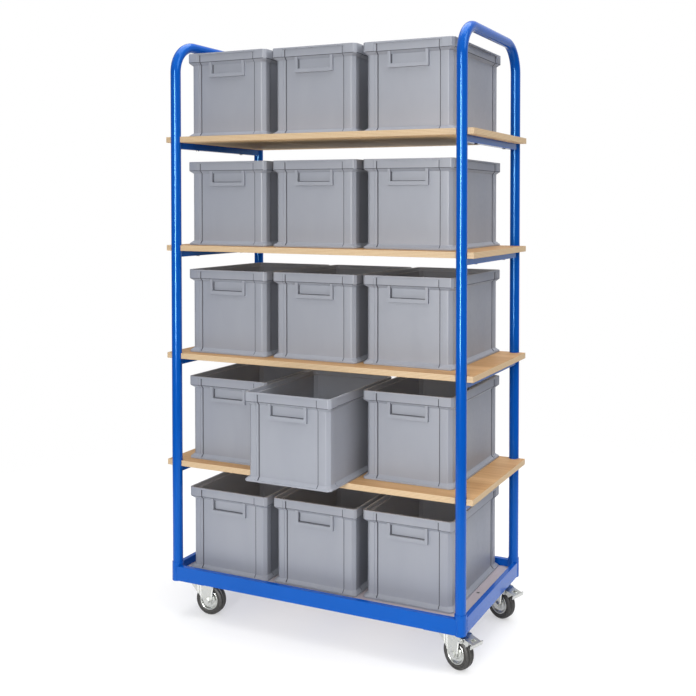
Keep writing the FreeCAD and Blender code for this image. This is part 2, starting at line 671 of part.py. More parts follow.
# Axle bolt and its nut
axle = new_body("axle")
head = new_sketch(axle, "XZ_Plane", FORK_OUTER)
hexagon(head, "caster_trail", AXLE_Z, "axle_flats")
pad(axle, head, "axle_head_high")
nut = new_sketch(axle, "XZ_Plane", f"-({FORK_OUTER} + axle_nut_high)")
hexagon(nut, "caster_trail", AXLE_Z, "axle_flats")
pad(axle, nut, "axle_nut_high")
shank = new_sketch(axle, "XZ_Plane", f"-({FORK_OUTER} + axle_nut_high + axle_tip)")
circle(shank, "caster_trail", AXLE_Z, "axle_dia / 2")
pad(axle, shank, f"2 * {FORK_OUTER} + axle_nut_high + axle_tip")

# Dished wheel centre with a long hub
wheel = new_body("wheel")
section = new_sketch(wheel, "YZ_Plane", "caster_trail", "0", AXLE_Z)
HUB_END = "(fork_gap / 2 - hub_play)"
RIM_RADIUS = "(rim_dia / 2 - tyre_seat)"
half = [
    (HUB_END, "axle_dia / 2 + running_fit"),
    (HUB_END, "hub_dia / 2"),
    ("rim_width / 2 - dish_depth", "hub_dia / 2"),
    ("rim_width / 2 - dish_depth", f"{RIM_RADIUS} - rim_lip - dish_depth / 2"),
    ("rim_width / 2", f"{RIM_RADIUS} - rim_lip"),
    ("rim_width / 2", RIM_RADIUS),
]
outline(section, half + [(f"-({y})", r) for y, r in reversed(half)])
revolve(wheel, section, "H_Axis")

# Rubber tyre with a rounded shoulder
tyre = new_body("tyre")
section = new_sketch(tyre, "YZ_Plane", "caster_trail", "0", AXLE_Z)
half = [
    ("tyre_width / 2", "rim_dia / 2"),
    ("tyre_width / 2", "wheel_dia / 2 - tyre_shoulder"),
    ("tyre_width / 2 - tyre_shoulder / 3", "wheel_dia / 2 - tyre_crown"),
    ("tyre_width / 2 - tyre_shoulder", "wheel_dia / 2"),
]
outline(section, half + [(f"-({y})", r) for y, r in reversed(half)])
revolve(tyre, section, "H_Axis")

# Brake pedal: sloping tread plate between two cheeks, a shoe over the tyre and a foot bar
pedal = new_body("pedal")


def on_pedal(along, above):
    """Point on the pedal, along its slope from the pivot and square to it."""
    x = f"{PIVOT_X} + ({along}) * cos(pedal_slope) + ({above}) * sin(pedal_slope)"
    z = f"{PIVOT_Z} - ({along}) * sin(pedal_slope) + ({above}) * cos(pedal_slope)"
    return x, z


def round_wheel(radius, bearing):
    """Point at a radius and bearing about the axle."""
    return f"caster_trail + ({radius}) * cos({bearing})", f"{AXLE_Z} + ({radius}) * sin({bearing})"


PLATE_HIGH = "(pedal_lift + pedal_thick)"
SHOE_RADIUS = "(wheel_dia / 2 + shoe_gap)"
SHOE = [
    round_wheel(SHOE_RADIUS, "shoe_bearing - shoe_spread / 2"),
    round_wheel(SHOE_RADIUS, "shoe_bearing + shoe_spread / 2"),
    round_wheel(f"{SHOE_RADIUS} + shoe_depth", "shoe_bearing + shoe_spread"),
    round_wheel(f"{SHOE_RADIUS} + shoe_depth", "shoe_bearing - shoe_spread / 2"),
]
tread = new_sketch(pedal, "XZ_Plane", "-pedal_width / 2")
outline(tread, [on_pedal("-pedal_pin_dia", "pedal_lift"), on_pedal("pedal_reach", "pedal_lift"),
                on_pedal("pedal_reach", PLATE_HIGH), on_pedal("-pedal_pin_dia", PLATE_HIGH)])
pad(pedal, tread, "pedal_width")
slot = new_sketch(pedal, "XY_Plane", f"{PIVOT_Z} + pedal_reach")
slot_middle = f"({PIVOT_X} + 0.7 * pedal_reach)"
rectangle(slot, f"{slot_middle} - pedal_slot_length / 2", "-pedal_slot_width / 2",
          f"{slot_middle} + pedal_slot_length / 2", "pedal_slot_width / 2")
pocket(pedal, slot)
bar_sketch = new_sketch(pedal, "XZ_Plane", "-foot_bar_width / 2")
outline(bar_sketch, [on_pedal("pedal_reach", f"{PLATE_HIGH} - foot_bar_high"),
                     on_pedal("pedal_reach + foot_bar_thick", f"{PLATE_HIGH} - foot_bar_high"),
                     on_pedal("pedal_reach + foot_bar_thick", PLATE_HIGH), on_pedal("pedal_reach", PLATE_HIGH)])
pad(pedal, bar_sketch, "foot_bar_width")
shoe = new_sketch(pedal, "XZ_Plane", "-pedal_width / 2")
outline(shoe, SHOE)
pad(pedal, shoe, "pedal_width")
side = new_sketch(pedal, "XZ_Plane", "-pedal_width / 2")
outline(side, [on_pedal("-pedal_pin_dia", PLATE_HIGH), on_pedal("-pedal_pin_dia", "-pedal_pin_dia"),
               SHOE[1], SHOE[0], SHOE[3], on_pedal("0.6 * pedal_reach", "pedal_lift"),
               on_pedal("0.6 * pedal_reach", PLATE_HIGH)])
cheek = pad(pedal, side, "pedal_cheek")
repeat(pedal, [cheek], mirrors=("XZ_Plane",))
bore = new_sketch(pedal, "XZ_Plane", "pedal_width")
circle(bore, PIVOT_X, PIVOT_Z, "pedal_pin_dia / 2 + running_fit")
pocket(pedal, bore)

pedal_pin = new_body("pedal_pin")
shank = new_sketch(pedal_pin, "XZ_Plane", f"-{FORK_OUTER}")
circle(shank, PIVOT_X, PIVOT_Z, "pedal_pin_dia / 2")
pad(pedal_pin, shank, f"2 * {FORK_OUTER}")
head = new_sketch(pedal_pin, "XZ_Plane", FORK_OUTER)
circle(head, PIVOT_X, PIVOT_Z, "pedal_pin_head / 2")
head = pad(pedal_pin, head, "pedal_pin_head_high")
repeat(pedal_pin, [head], mirrors=("XZ_Plane",))

# Four casters, each turned about its kingpin as it stands
caster_pieces = []
for corner, sx, sy, braked in (("front_left", "-", "-", False), ("front_right", "", "-", True),
                               ("rear_left", "-", "", False), ("rear_right", "", "", True)):
    kit = {"fork": braked_fork if braked else plain_fork, "axle": axle, "wheel": wheel, "tyre": tyre}
    if braked:
        kit["pedal"] = pedal
        kit["pedal_pin"] = pedal_pin
    for name, source in kit.items():
        piece = copy_of(source, f"{corner}_{name}")
        piece.Placement.Rotation = FreeCAD.Rotation(FreeCAD.Vector(0, 0, 1), 1)
        bind(piece, "Placement.Rotation.Angle", f"turn_{corner}")
        bind(piece, "Placement.Base.x", f"{sx}{KING_X}")
        bind(piece, "Placement.Base.y", f"{sy}{KING_Y}")
        caster_pieces.append(piece)

# Stacking crate: one ruled loft from the flared foot over the drawn-in wall to the deep rim
crate = new_body("crate")
outlines = []
for height, inset, corner in (("0", "0", "crate_corner"), ("crate_foot_high", "0", "crate_corner"),
                              (CRATE_WALL_BOTTOM, "crate_inset", "crate_wall_corner"),
                              (CRATE_WALL_TOP, "crate_inset", "crate_wall_corner"),
                              (CRATE_RIM_BOTTOM, "0", "crate_corner"), ("crate_height", "0", "crate_corner")):
    section = new_sketch(crate, "XY_Plane", height)
    octagon(section, inset, corner)
    outlines.append(section)
shell = crate.newObject("PartDesign::AdditiveLoft", "Shell")
shell.Profile = outlines[0]
shell.Sections = outlines[1:]
shell.Ruled = True
mouth = new_sketch(crate, "XY_Plane", "crate_height")
octagon(mouth, "crate_lip", "crate_corner")
pocket(crate, mouth, "crate_lip_deep")
inside = new_sketch(crate, "XY_Plane", "crate_height - crate_lip_deep")
octagon(inside, "(crate_inset + crate_wall)", "crate_wall_corner")
pocket(crate, inside, "crate_height - crate_lip_deep - crate_floor")


def sunk_panel(plane, half_reach, half_length, column, depth):
    """Cut that sinks a wall between its corner columns, from the foot to the bead on the rim."""
    half_panel = f"({half_length} - {column})"
    sketch = new_sketch(crate, plane, f"-{half_panel}")
    outline(sketch, [
        (f"-{half_reach} - crate_inset", "crate_foot_high"),
        (f"-{half_reach} + {depth}", "crate_foot_high"),
        (f"-{half_reach} + crate_inset + {depth}", CRATE_WALL_BOTTOM),
        (f"-{half_reach} + crate_inset + {depth}", CRATE_WALL_TOP),
        (f"-{half_reach} + {depth}", CRATE_RIM_BOTTOM),
        (f"-{half_reach} + {depth}", "crate_height - crate_bead"),
        (f"-{half_reach} - crate_inset", "crate_height - crate_bead"),
    ])
    return pocket(crate, sketch, f"2 * {half_panel}", forward=True)


# Walls sink in two steps inside the columns, and a U-shaped grip stands on each end
END, SIDE = "(crate_depth / 2)", "(crate_width / 2)"
end_steps = [sunk_panel("YZ_Plane", END, SIDE, "(crate_column + crate_border)", "crate_panel"),
             sunk_panel("YZ_Plane", END, SIDE, "crate_column", "crate_step")]
grip = new_sketch(crate, "XZ_Plane", f"{END} - crate_inset - crate_panel")
GRIP_BOTTOM = f"({CRATE_RIM_BOTTOM} - grip_high)"
outline(grip, [
    ("-grip_width / 2", CRATE_RIM_BOTTOM),
    ("-grip_width / 2", GRIP_BOTTOM),
    ("grip_width / 2", GRIP_BOTTOM),
    ("grip_width / 2", CRATE_RIM_BOTTOM),
    ("grip_width / 2 - grip_frame", CRATE_RIM_BOTTOM),
    ("grip_width / 2 - grip_frame", f"{GRIP_BOTTOM} + grip_sill"),
    ("-grip_width / 2 + grip_frame", f"{GRIP_BOTTOM} + grip_sill"),
    ("-grip_width / 2 + grip_frame", CRATE_RIM_BOTTOM),
])
grip_pad = pad(crate, grip, "grip_stand")
repeat(crate, [*end_steps, grip_pad], mirrors=("XZ_Plane",))
side_steps = [sunk_panel("XZ_Plane", SIDE, END, "(crate_column + crate_border)", "crate_panel"),
              sunk_panel("XZ_Plane", SIDE, END, "crate_column", "crate_step")]
repeat(crate, side_steps, mirrors=("YZ_Plane",))

# Three crates on each of the five levels; the middle one on the second is pulled forward
crates = []
for level in range(1, 6):
    floor = DECK_TOP if level == 1 else f"({SHELF_TOP} + {level - 2} * level_height)"
    for column, step in (("left", -1), ("middle", 0), ("right", 1)):
        box = copy_of(crate, f"crate_{level}_{column}")
        pulled = " - crate_pull" if (level, column) == (2, "middle") else ""
        bind(box, "Placement.Base.x", f"crate_row_shift + {step} * {CRATE_PITCH}")
        bind(box, "Placement.Base.y", f"{CRATE_Y} + {step} * crate_row_skew{pulled}")
        bind(box, "Placement.Base.z", f"{floor} + crate_seat")
        crates.append(box)

doc.recompute()

PIECES = [
    front_rail, rear_rail, left_rail, right_rail, post_sockets, corner_plates,
    deck_bearers, deck_ledges, base_deck, deck_screws,
    left_hoop, right_hoop, left_shelf_bars, right_shelf_bars,
    *shelves, shelf_screws, caster_plates, caster_bolts, kingpins, *caster_pieces, *crates,
]

# Every feature has to be up to date, every cut has to remove something, every piece has to be sound
for item in doc.Objects:
    if "Invalid" in item.State or "Error" in item.State:
        raise RuntimeError(f"{item.Name} failed: {item.State}")
    if item.TypeId == "PartDesign::Pocket" and item.Shape.Volume > item.BaseFeature.Shape.Volume - 1e-3:
        raise RuntimeError(f"{item.Name} cuts nothing")
for piece in PIECES:
    if piece.Shape.isNull() or not piece.Shape.isValid():
        raise RuntimeError(f"{piece.Label} is not a sound solid")

os.makedirs("parts", exist_ok=True)
for piece in PIECES:
    piece.Shape.exportStep(f"parts/{piece.Label}.step")
print(f"{len(PIECES)} pieces written")
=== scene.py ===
"""Looks of the order picking trolley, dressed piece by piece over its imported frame."""

import json
import logging
import math
from collections.abc import Mapping, Sequence
from dataclasses import dataclass, replace
from enum import Enum

import bmesh
import bpy
from mathutils import Matrix, Vector


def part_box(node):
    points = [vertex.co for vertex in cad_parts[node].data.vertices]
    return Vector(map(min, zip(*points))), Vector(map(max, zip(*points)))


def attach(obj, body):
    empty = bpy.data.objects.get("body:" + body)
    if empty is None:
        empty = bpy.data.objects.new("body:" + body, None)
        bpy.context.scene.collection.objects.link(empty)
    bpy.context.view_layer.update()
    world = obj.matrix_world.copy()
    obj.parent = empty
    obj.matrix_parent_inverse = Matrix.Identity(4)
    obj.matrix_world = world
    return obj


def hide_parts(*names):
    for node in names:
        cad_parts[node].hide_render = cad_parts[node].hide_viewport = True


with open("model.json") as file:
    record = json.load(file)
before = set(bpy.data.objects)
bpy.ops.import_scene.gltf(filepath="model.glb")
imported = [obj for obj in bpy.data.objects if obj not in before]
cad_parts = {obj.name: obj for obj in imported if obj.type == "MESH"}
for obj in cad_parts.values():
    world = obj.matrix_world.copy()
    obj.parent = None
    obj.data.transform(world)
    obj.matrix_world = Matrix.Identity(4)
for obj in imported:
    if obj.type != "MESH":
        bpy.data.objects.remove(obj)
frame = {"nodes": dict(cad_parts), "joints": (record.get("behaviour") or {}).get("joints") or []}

log = logging.getLogger("trolley")
MM = 0.001
JOIN = 0.004 * MM  # corners of packed triangles closer than this are one corner
FINE_JOIN = 0.002 * MM  # the same for shapes that are built here
FLAT_BELOW = math.radians(0.5)  # packed triangles that meet flatter than this are one face
SMOOTH_BELOW = math.radians(32)  # edges flatter than this are shaded smooth
SHARP_ABOVE = math.radians(30)  # edges sharper than this are eased
BEAD_SPACING = 0.9  # from scale to scale of a weld bead, as a share of its radius
NOISE, RANGE = "ShaderNodeTexNoise", "ShaderNodeMapRange"
MIX, MATH = "ShaderNodeMix", "ShaderNodeMath"
FLOAT, WHOLE = "NodeSocketFloat", "NodeSocketInt"
BLEND, FIRST, SECOND, MIXED = 0, 6, 7, 2  # places of a colour mix node's inputs, and of its output
LEAST, MOST, CHOSEN = 2, 3, 1  # places of a random number node's inputs, and of its output

Colour = tuple[float, float, float, float]
Point = tuple[float, float, float]
Profile = list[tuple[float, float]]
Thing = bpy.types.Object
Tree = bpy.types.NodeTree
Node = bpy.types.Node
Socket = bpy.types.NodeSocket
Links = dict[str, bpy.types.NodeSocket]
Shape = bmesh.types.BMesh
Ring = list[bmesh.types.BMVert]
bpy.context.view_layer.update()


class Slot(Enum):
    """Material slots of the record, one for each kind of piece."""

    BLUE_STEEL = "blue_steel"
    PLYWOOD = "plywood"
    DECK_BOARD = "deck_board"
    CRATE_PLASTIC = "crate_plastic"
    ZINC_STEEL = "zinc_steel"
    TYRE_RUBBER = "tyre_rubber"
    SCREW_STEEL = "screw_steel"


class Corner(Enum):
    """Corners of the base, each with a caster; those on the right have a brake."""

    FRONT_LEFT = "front_left"
    FRONT_RIGHT = "front_right"
    REAR_LEFT = "rear_left"
    REAR_RIGHT = "rear_right"

    @property
    def braked(self) -> bool:
        """Whether the caster at this corner has a brake pedal."""
        return self in (Corner.FRONT_RIGHT, Corner.REAR_RIGHT)


def linear(colour: str) -> Colour:
    """Turns an sRGB hex value into linear light.

    Args:
        colour: Hex value such as "#1A2B3C".

    Returns:
        Linear red, green, blue and an alpha of one.
    """
    parts = [int(colour[i : i + 2], 16) / 255 for i in (1, 3, 5)]
    red, green, blue = (p / 12.92 if p <= 0.04045 else ((p + 0.055) / 1.055) ** 2.4 for p in parts)
    return (red, green, blue, 1.0)


def per_mm(size: float) -> float:
    """Texture scale at which one cell of a pattern has a size in millimetres."""
    return 1000.0 / size


def add_node(
    tree: Tree,
    kind: str,
    settings: Mapping[str | int, object] | None = None,
    links: Mapping[str | int, Socket] | None = None,
    **attributes: object,
) -> Node:
    """Adds a node with its settings and links.

    Args:
        tree: Shader or geometry tree that gets the node.
        kind: Blender's name for the kind of node.
        settings: Values of its inputs, by name or place.
        links: Outputs of other nodes that feed its inputs, by name or place.
        **attributes: Properties of the node itself.

    Returns:
        The new node.
    """
    node = tree.nodes.new(kind)
    for name, value in attributes.items():
        setattr(node, name, value)
    for key, value in (settings or {}).items():
        node.inputs[key].default_value = value
    for key, source in (links or {}).items():
        tree.links.new(source, node.inputs[key])
    return node


def blank_tree(owner: bpy.types.Material | bpy.types.World) -> Tree:
    """Gives a material or a world an empty node tree."""
    owner.use_nodes = True
    owner.node_tree.nodes.clear()
    return owner.node_tree


@dataclass(frozen=True)
class Finish:
    """A surface finish that builds one procedural material, with the sizes of its patterns in millimetres.

    Its gloss swings round the roughness over a span of a pattern, and its relief has a strength and a depth.
    """

    name: str
    colour: str
    shade: str
    roughness: float
    gloss_swing: tuple[float, float] = (-0.1, 0.1)
    gloss_span: tuple[float, float] = (0.0, 1.0)
    relief: float = 0.2
    relief_depth: float = 0.1

    def material(self) -> bpy.types.Material:
        """Builds the finish's material, or gives the one that is already built."""
        if self.name in bpy.data.materials:
            return bpy.data.materials[self.name]
        made = bpy.data.materials.new(self.name)
        tree = blank_tree(made)
        links = self.draw(tree, add_node(tree, "ShaderNodeTexCoord"))
        shader = add_node(tree, "ShaderNodeBsdfPrincipled", self.constants(), links)
        add_node(tree, "ShaderNodeOutputMaterial", links={"Surface": shader.outputs["BSDF"]})
        return made

    def constants(self) -> dict[str, object]:
        """Values that are the same all over the surface, by shader input."""
        return {}

    def draw(self, tree: Tree, place: Node) -> Links:
        """Draws the pattern of the surface.

        Args:
            tree: Tree of the material.
            place: Texture coordinates of the surface.

        Returns:
            Outputs that feed the shader, by shader input.
        """
        raise NotImplementedError

    def surface(self, tree: Tree, blend: Socket, shine: Socket, height: Socket) -> Links:
        """Joins the two colours, the uneven gloss and the relief.

        Args:
            tree: Tree of the material.
            blend: Pattern that leads from the colour to the shade.
            shine: Pattern of the gloss.
            height: Pattern of the relief.

        Returns:
            Outputs that feed the shader, by shader input.
        """
        ends = {FIRST: linear(self.colour), SECOND: linear(self.shade)}
        tone = add_node(tree, MIX, ends, {BLEND: blend}, data_type="RGBA")
        least, most = self.gloss_span
        glossier, duller = (self.roughness + swing for swing in self.gloss_swing)
        spread = {"From Min": least, "From Max": most, "To Min": glossier, "To Max": duller}
        gloss = add_node(tree, RANGE, spread, {"Value": shine})
        raised = {"Strength": self.relief, "Distance": self.relief_depth * MM}
        bump = add_node(tree, "ShaderNodeBump", raised, {"Height": height})
        return {
            "Base Color": tone.outputs[MIXED],
            "Roughness": gloss.outputs["Result"],
            "Normal": bump.outputs["Normal"],
        }


@dataclass(frozen=True)
class PowderCoat(Finish):
    """Polyester powder baked on steel: an even colour with a faint orange peel under a soft gloss."""

    gloss_swing: tuple[float, float] = (-0.03, 0.03)
    relief: float = 0.12
    relief_depth: float = 0.06
    glint: str = "#8FD3FF"
    cloud: float = 160.0
    peel: float = 2.2

    def constants(self) -> dict[str, object]:
        """Values that are the same all over the surface, by shader input."""
        return {"IOR": 1.5, "Specular Tint": linear(self.glint)}

    def draw(self, tree: Tree, place: Node) -> Links:
        """Draws a slow change of tone, and the orange peel in relief and gloss."""
        at = {"Vector": place.outputs["Object"]}
        cloud = add_node(tree, NOISE, {"Scale": per_mm(self.cloud), "Detail": 3.0}, at)
        peel = add_node(tree, NOISE, {"Scale": per_mm(self.peel), "Detail": 1.5}, at)
        return self.surface(tree, cloud.outputs["Fac"], peel.outputs["Fac"], peel.outputs["Fac"])


@dataclass(frozen=True)
class BirchPlywood(Finish):
    """Sanded and sealed birch plywood: streaked veneer, painted paler below as painted light, with pale and dark plies
    along the edges.
    """

    gloss_swing: tuple[float, float] = (-0.08, 0.1)
    relief: float = 0.25
    relief_depth: float = 0.15
    edge: str = "#D8BF9B"
    edge_shade: str = "#A9835A"
    # paler colour for the faces that look down: painted light that stands in for light reaching under the shelves
    painted_light_below: str = "#F2CB98"
    underside: float = 0.0
    grain: float = 7.0
    figure: float = 70.0
    grain_stretch: float = 0.05
    ply: float = 2.0
    ply_wave: float = 0.9
    ply_wave_length: float = 30.0
    fleck: float = 2.4

    def constants(self) -> dict[str, object]:
        """Values that are the same all over the surface, by shader input."""
        return {"IOR": 1.5, "Specular IOR Level": 0.2}

    def plies(self, tree: Tree, at: Links) -> Socket:
        """Draws the pale and dark plies that a saw cut shows.

        Args:
            tree: Tree of the material.
            at: Place on the surface, as the link of a texture.

        Returns:
            Colour of the plies.
        """
        level = add_node(tree, "ShaderNodeMapping", {"Location": (0.0, 0.0, -self.underside)}, at)
        height = add_node(tree, "ShaderNodeSeparateXYZ", links={"Vector": level.outputs["Vector"]})
        wave = add_node(tree, NOISE, {"Scale": per_mm(self.ply_wave_length), "Detail": 3.0}, at)
        waved = add_node(
            tree,
            MATH,
            {1: self.ply_wave * MM},
            {0: wave.outputs["Fac"], 2: height.outputs["Z"]},
            operation="MULTIPLY_ADD",
        )
        layers = add_node(tree, MATH, {1: self.ply * MM}, {0: waved.outputs["Value"]}, operation="PINGPONG")
        turn = {"From Min": 0.35 * self.ply * MM, "From Max": 0.65 * self.ply * MM}
        band = add_node(tree, RANGE, turn, {"Value": layers.outputs["Value"]})
        flecks = add_node(tree, NOISE, {"Scale": per_mm(self.fleck), "Detail": 4.0, "Roughness": 0.7}, at)
        cut = add_node(
            tree, MATH, links={0: band.outputs["Result"], 1: flecks.outputs["Fac"]}, operation="MULTIPLY"
        )
        ends = {FIRST: linear(self.edge), SECOND: linear(self.edge_shade)}
        return add_node(tree, MIX, ends, {BLEND: cut.outputs["Value"]}, data_type="RGBA").outputs[MIXED]

    def draw(self, tree: Tree, place: Node) -> Links:
        """Draws long grain on the faces, painted light on the faces that look down, and the cut plies on every edge.
        """
        at = {"Vector": place.outputs["Object"]}
        along = add_node(tree, "ShaderNodeMapping", {"Scale": (self.grain_stretch, 1.0, 1.0)}, at)
        drawn_out = {"Vector": along.outputs["Vector"]}
        fine = {"Scale": per_mm(self.grain), "Detail": 6.0, "Roughness": 0.62, "Distortion": 0.7}
        grain = add_node(tree, NOISE, fine, drawn_out)
        broad = {"Scale": per_mm(self.figure), "Detail": 2.0, "Distortion": 1.4}
        figure = add_node(tree, NOISE, broad, drawn_out)
        mixed = add_node(
            tree, MATH, {1: 0.6}, {0: grain.outputs["Fac"], 2: figure.outputs["Fac"]}, operation="MULTIPLY_ADD"
        )
        streak = add_node(tree, RANGE, {"From Min": 0.55, "From Max": 1.0}, {"Value": mixed.outputs["Value"]})
        links = self.surface(tree, streak.outputs["Result"], grain.outputs["Fac"], grain.outputs["Fac"])
        # Faces that look down are painted in the paler colour: painted light under the shelves
        facing = add_node(tree, "ShaderNodeSeparateXYZ", links={"Vector": place.outputs["Normal"]})
        downward = {"From Min": -0.5, "From Max": -0.8, "To Max": 0.9}
        painted_light_mask = add_node(tree, RANGE, downward, {"Value": facing.outputs["Z"]})
        with_painted_light = add_node(
            tree,
            MIX,
            {SECOND: linear(self.painted_light_below)},
            {BLEND: painted_light_mask.outputs["Result"], FIRST: links["Base Color"]},
            data_type="RGBA",
        )
        flat = add_node(tree, MATH, links={0: facing.outputs["Z"]}, operation="ABSOLUTE")
        face = add_node(tree, RANGE, {"From Min": 0.55, "From Max": 0.8}, {"Value": flat.outputs["Value"]})
        tone = add_node(
            tree,
            MIX,
            links={BLEND: face.outputs["Result"], FIRST: self.plies(tree, at), SECOND: with_painted_light.outputs[MIXED]},
            data_type="RGBA",
        )
        return {**links, "Base Color": tone.outputs[MIXED]}


@dataclass(frozen=True)
class FilmFacedBoard(Finish):
    """Board faced with a pale pressed film: an even tint with a fine pebble from the press plate."""

    scuff: float = 45.0
    pebble: float = 1.8  # coarser than the real pebble, which wouldn't show

    def draw(self, tree: Tree, place: Node) -> Links:
        """Draws the pebble in relief, and faint scuffs in tone and gloss."""
        at = {"Vector": place.outputs["Object"]}
        pebble = add_node(tree, "ShaderNodeTexVoronoi", {"Scale": per_mm(self.pebble)}, at)
        scuff = add_node(tree, NOISE, {"Scale": per_mm(self.scuff), "Detail": 6.0, "Roughness": 0.65}, at)
        return self.surface(tree, scuff.outputs["Fac"], scuff.outputs["Fac"], pebble.outputs["Distance"])


@dataclass(frozen=True)
class MouldedPolypropylene(Finish):
    """Injection moulded polypropylene: a satin grey with cloudy flow marks and a fine spark-eroded grain."""

    gloss_swing: tuple[float, float] = (-0.07, 0.07)
    gloss_span: tuple[float, float] = (0.3, 0.7)
    relief: float = 0.15
    relief_depth: float = 0.05
    flow: float = 90.0
    flow_stretch: float = 0.35
    haze: float = 14.0
    grain: float = 1.1  # coarser than the real grain, which wouldn't show

    def constants(self) -> dict[str, object]:
        """Values that are the same all over the surface, by shader input."""
        return {"IOR": 1.49}

    def draw(self, tree: Tree, place: Node) -> Links:
        """Draws upright flow marks, a soft haze in the gloss and the grain."""
        at = {"Vector": place.outputs["Object"]}
        upright = add_node(tree, "ShaderNodeMapping", {"Scale": (1.0, 1.0, self.flow_stretch)}, at)
        marks = {"Scale": per_mm(self.flow), "Detail": 3.0, "Distortion": 0.8}
        flow = add_node(tree, NOISE, marks, {"Vector": upright.outputs["Vector"]})
        haze = add_node(tree, NOISE, {"Scale": per_mm(self.haze), "Detail": 5.0, "Roughness": 0.6}, at)
        grain = add_node(tree, NOISE, {"Scale": per_mm(self.grain), "Detail": 2.0}, at)
        return self.surface(tree, flow.outputs["Fac"], haze.outputs["Fac"], grain.outputs["Fac"])


@dataclass(frozen=True)
class ZincPlate(Finish):
    """Bright zinc plate on pressed steel: a cool metal, cloudy where the bath left it duller."""

    gloss_swing: tuple[float, float] = (-0.08, 0.1)
    gloss_span: tuple[float, float] = (0.3, 0.7)
    relief: float = 0.08
    relief_depth: float = 0.04
    cloud: float = 9.0
    rolled: float = 1.5  # coarser than the real trace of the rolls, which wouldn't show

    def constants(self) -> dict[str, object]:
        """Values that are the same all over the surface, by shader input."""
        return {"Metallic": 1.0}

    def draw(self, tree: Tree, place: Node) -> Links:
        """Draws the clouds in tone and gloss and a trace of the rolled sheet."""
        at = {"Vector": place.outputs["Object"]}
        cloud = add_node(tree, NOISE, {"Scale": per_mm(self.cloud), "Detail": 4.0, "Roughness": 0.6}, at)
        rolled = add_node(tree, NOISE, {"Scale": per_mm(self.rolled), "Detail": 2.0}, at)
        return self.surface(tree, cloud.outputs["Fac"], cloud.outputs["Fac"], rolled.outputs["Fac"])


@dataclass(frozen=True)
class TyreRubber(Finish):
    """Black solid rubber: dull, with a thin grey dust in its pores."""

    gloss_swing: tuple[float, float] = (-0.1, 0.12)
    relief: float = 0.3
    dust: float = 11.0
    pore: float = 1.3  # coarser than the real pores, which wouldn't show

    def draw(self, tree: Tree, place: Node) -> Links:
        """Draws the dust in tone and gloss, and the pores."""
        at = {"Vector": place.outputs["Object"]}
        dust = add_node(tree, NOISE, {"Scale": per_mm(self.dust), "Detail": 6.0, "Roughness": 0.7}, at)
        lies = add_node(tree, RANGE, {"From Min": 0.35, "From Max": 0.75}, {"Value": dust.outputs["Fac"]})
        pores = add_node(tree, NOISE, {"Scale": per_mm(self.pore), "Detail": 3.0}, at)
        return self.surface(tree, lies.outputs["Result"], dust.outputs["Fac"], pores.outputs["Fac"])


BLUE_COAT = PowderCoat("blue_powder_coat", "#0454B6", "#034CA8", 0.15)
BIRCH = BirchPlywood("birch_plywood", "#D2A97A", "#B58A5C", 0.5)
DECK_FILM = FilmFacedBoard("grey_film_faced_board", "#BDB3B8", "#AFA5AB", 0.5)
GREY_CRATE = MouldedPolypropylene("grey_polypropylene", "#9C9FA8", "#9296A0", 0.42)
# dark grey for the faces cut by the crates' mould lines: painted shade in the grooves
CRATE_LINE_SHADE = MouldedPolypropylene("dust_grey_mould_lines", "#53555D", "#484A52", 0.6)
BRIGHT_ZINC = ZincPlate("bright_zinc_plate", "#D2D3CF", "#B9BBB8", 0.3)
# near-white zinc for the fork swages: a painted highlight along their ridges
HIGHLIGHT_ZINC = ZincPlate("rubbed_zinc_plate", "#F6F6F2", "#E2E3DF", 0.24)
# darker zinc for the screws than for the other zinc parts: painted shade
SHADED_SCREW_ZINC = ZincPlate("screw_zinc_plate", "#8E8F8C", "#6F706E", 0.34, cloud=3.0)
BLACK_RUBBER = TyreRubber("black_solid_rubber", "#232221", "#484642", 0.55)


def link(thing: Thing) -> Thing:
    """Puts an object into the scene."""
    bpy.context.scene.collection.objects.link(thing)
    return thing


def drop(thing: Thing) -> None:
    """Removes an object that only served as a pattern."""
    bpy.data.objects.remove(thing)


def smooth(mesh: bpy.types.Mesh) -> None:
    """Shades a mesh smooth, but for its sharp edges."""
    mesh.polygons.foreach_set("use_smooth", [True] * len(mesh.polygons))
    mesh.set_sharp_from_angle(angle=SMOOTH_BELOW)
    mesh.update()


def as_object(name: str, shape: Shape) -> Thing:
    """Turns a finished shape into an object at the origin, smooth where it is round.

    Args:
        name: Name of the object and its mesh.
        shape: Shape to take over; it is freed.

    Returns:
        The object, in the scene.
    """
    mesh = bpy.data.meshes.new(name)
    shape.to_mesh(mesh)
    shape.free()
    smooth(mesh)
    return link(bpy.data.objects.new(name, mesh))


def take_modifiers(thing: Thing) -> Thing:
    """Bakes an object's modifiers into a plain mesh and removes them."""
    graph = bpy.context.evaluated_depsgraph_get()
    made = bpy.data.meshes.new_from_object(thing.evaluated_get(graph), depsgraph=graph)
    made.name = thing.name
    thing.modifiers.clear()
    thing.data = made
    return thing


def packed(node: str) -> Shape:
    """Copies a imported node's triangles into a joined shape."""
    shape = bmesh.new()
    shape.from_mesh(frame["nodes"][node].data)
    bmesh.ops.remove_doubles(shape, verts=shape.verts, dist=JOIN)
    return shape


def merged(node: str) -> Shape:
    """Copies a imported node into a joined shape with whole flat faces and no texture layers."""
    shape = packed(node)
    for layer in list(shape.loops.layers.uv.values()):
        shape.loops.layers.uv.remove(layer)
    bmesh.ops.dissolve_limit(shape, angle_limit=FLAT_BELOW, verts=shape.verts, edges=shape.edges)
    return shape


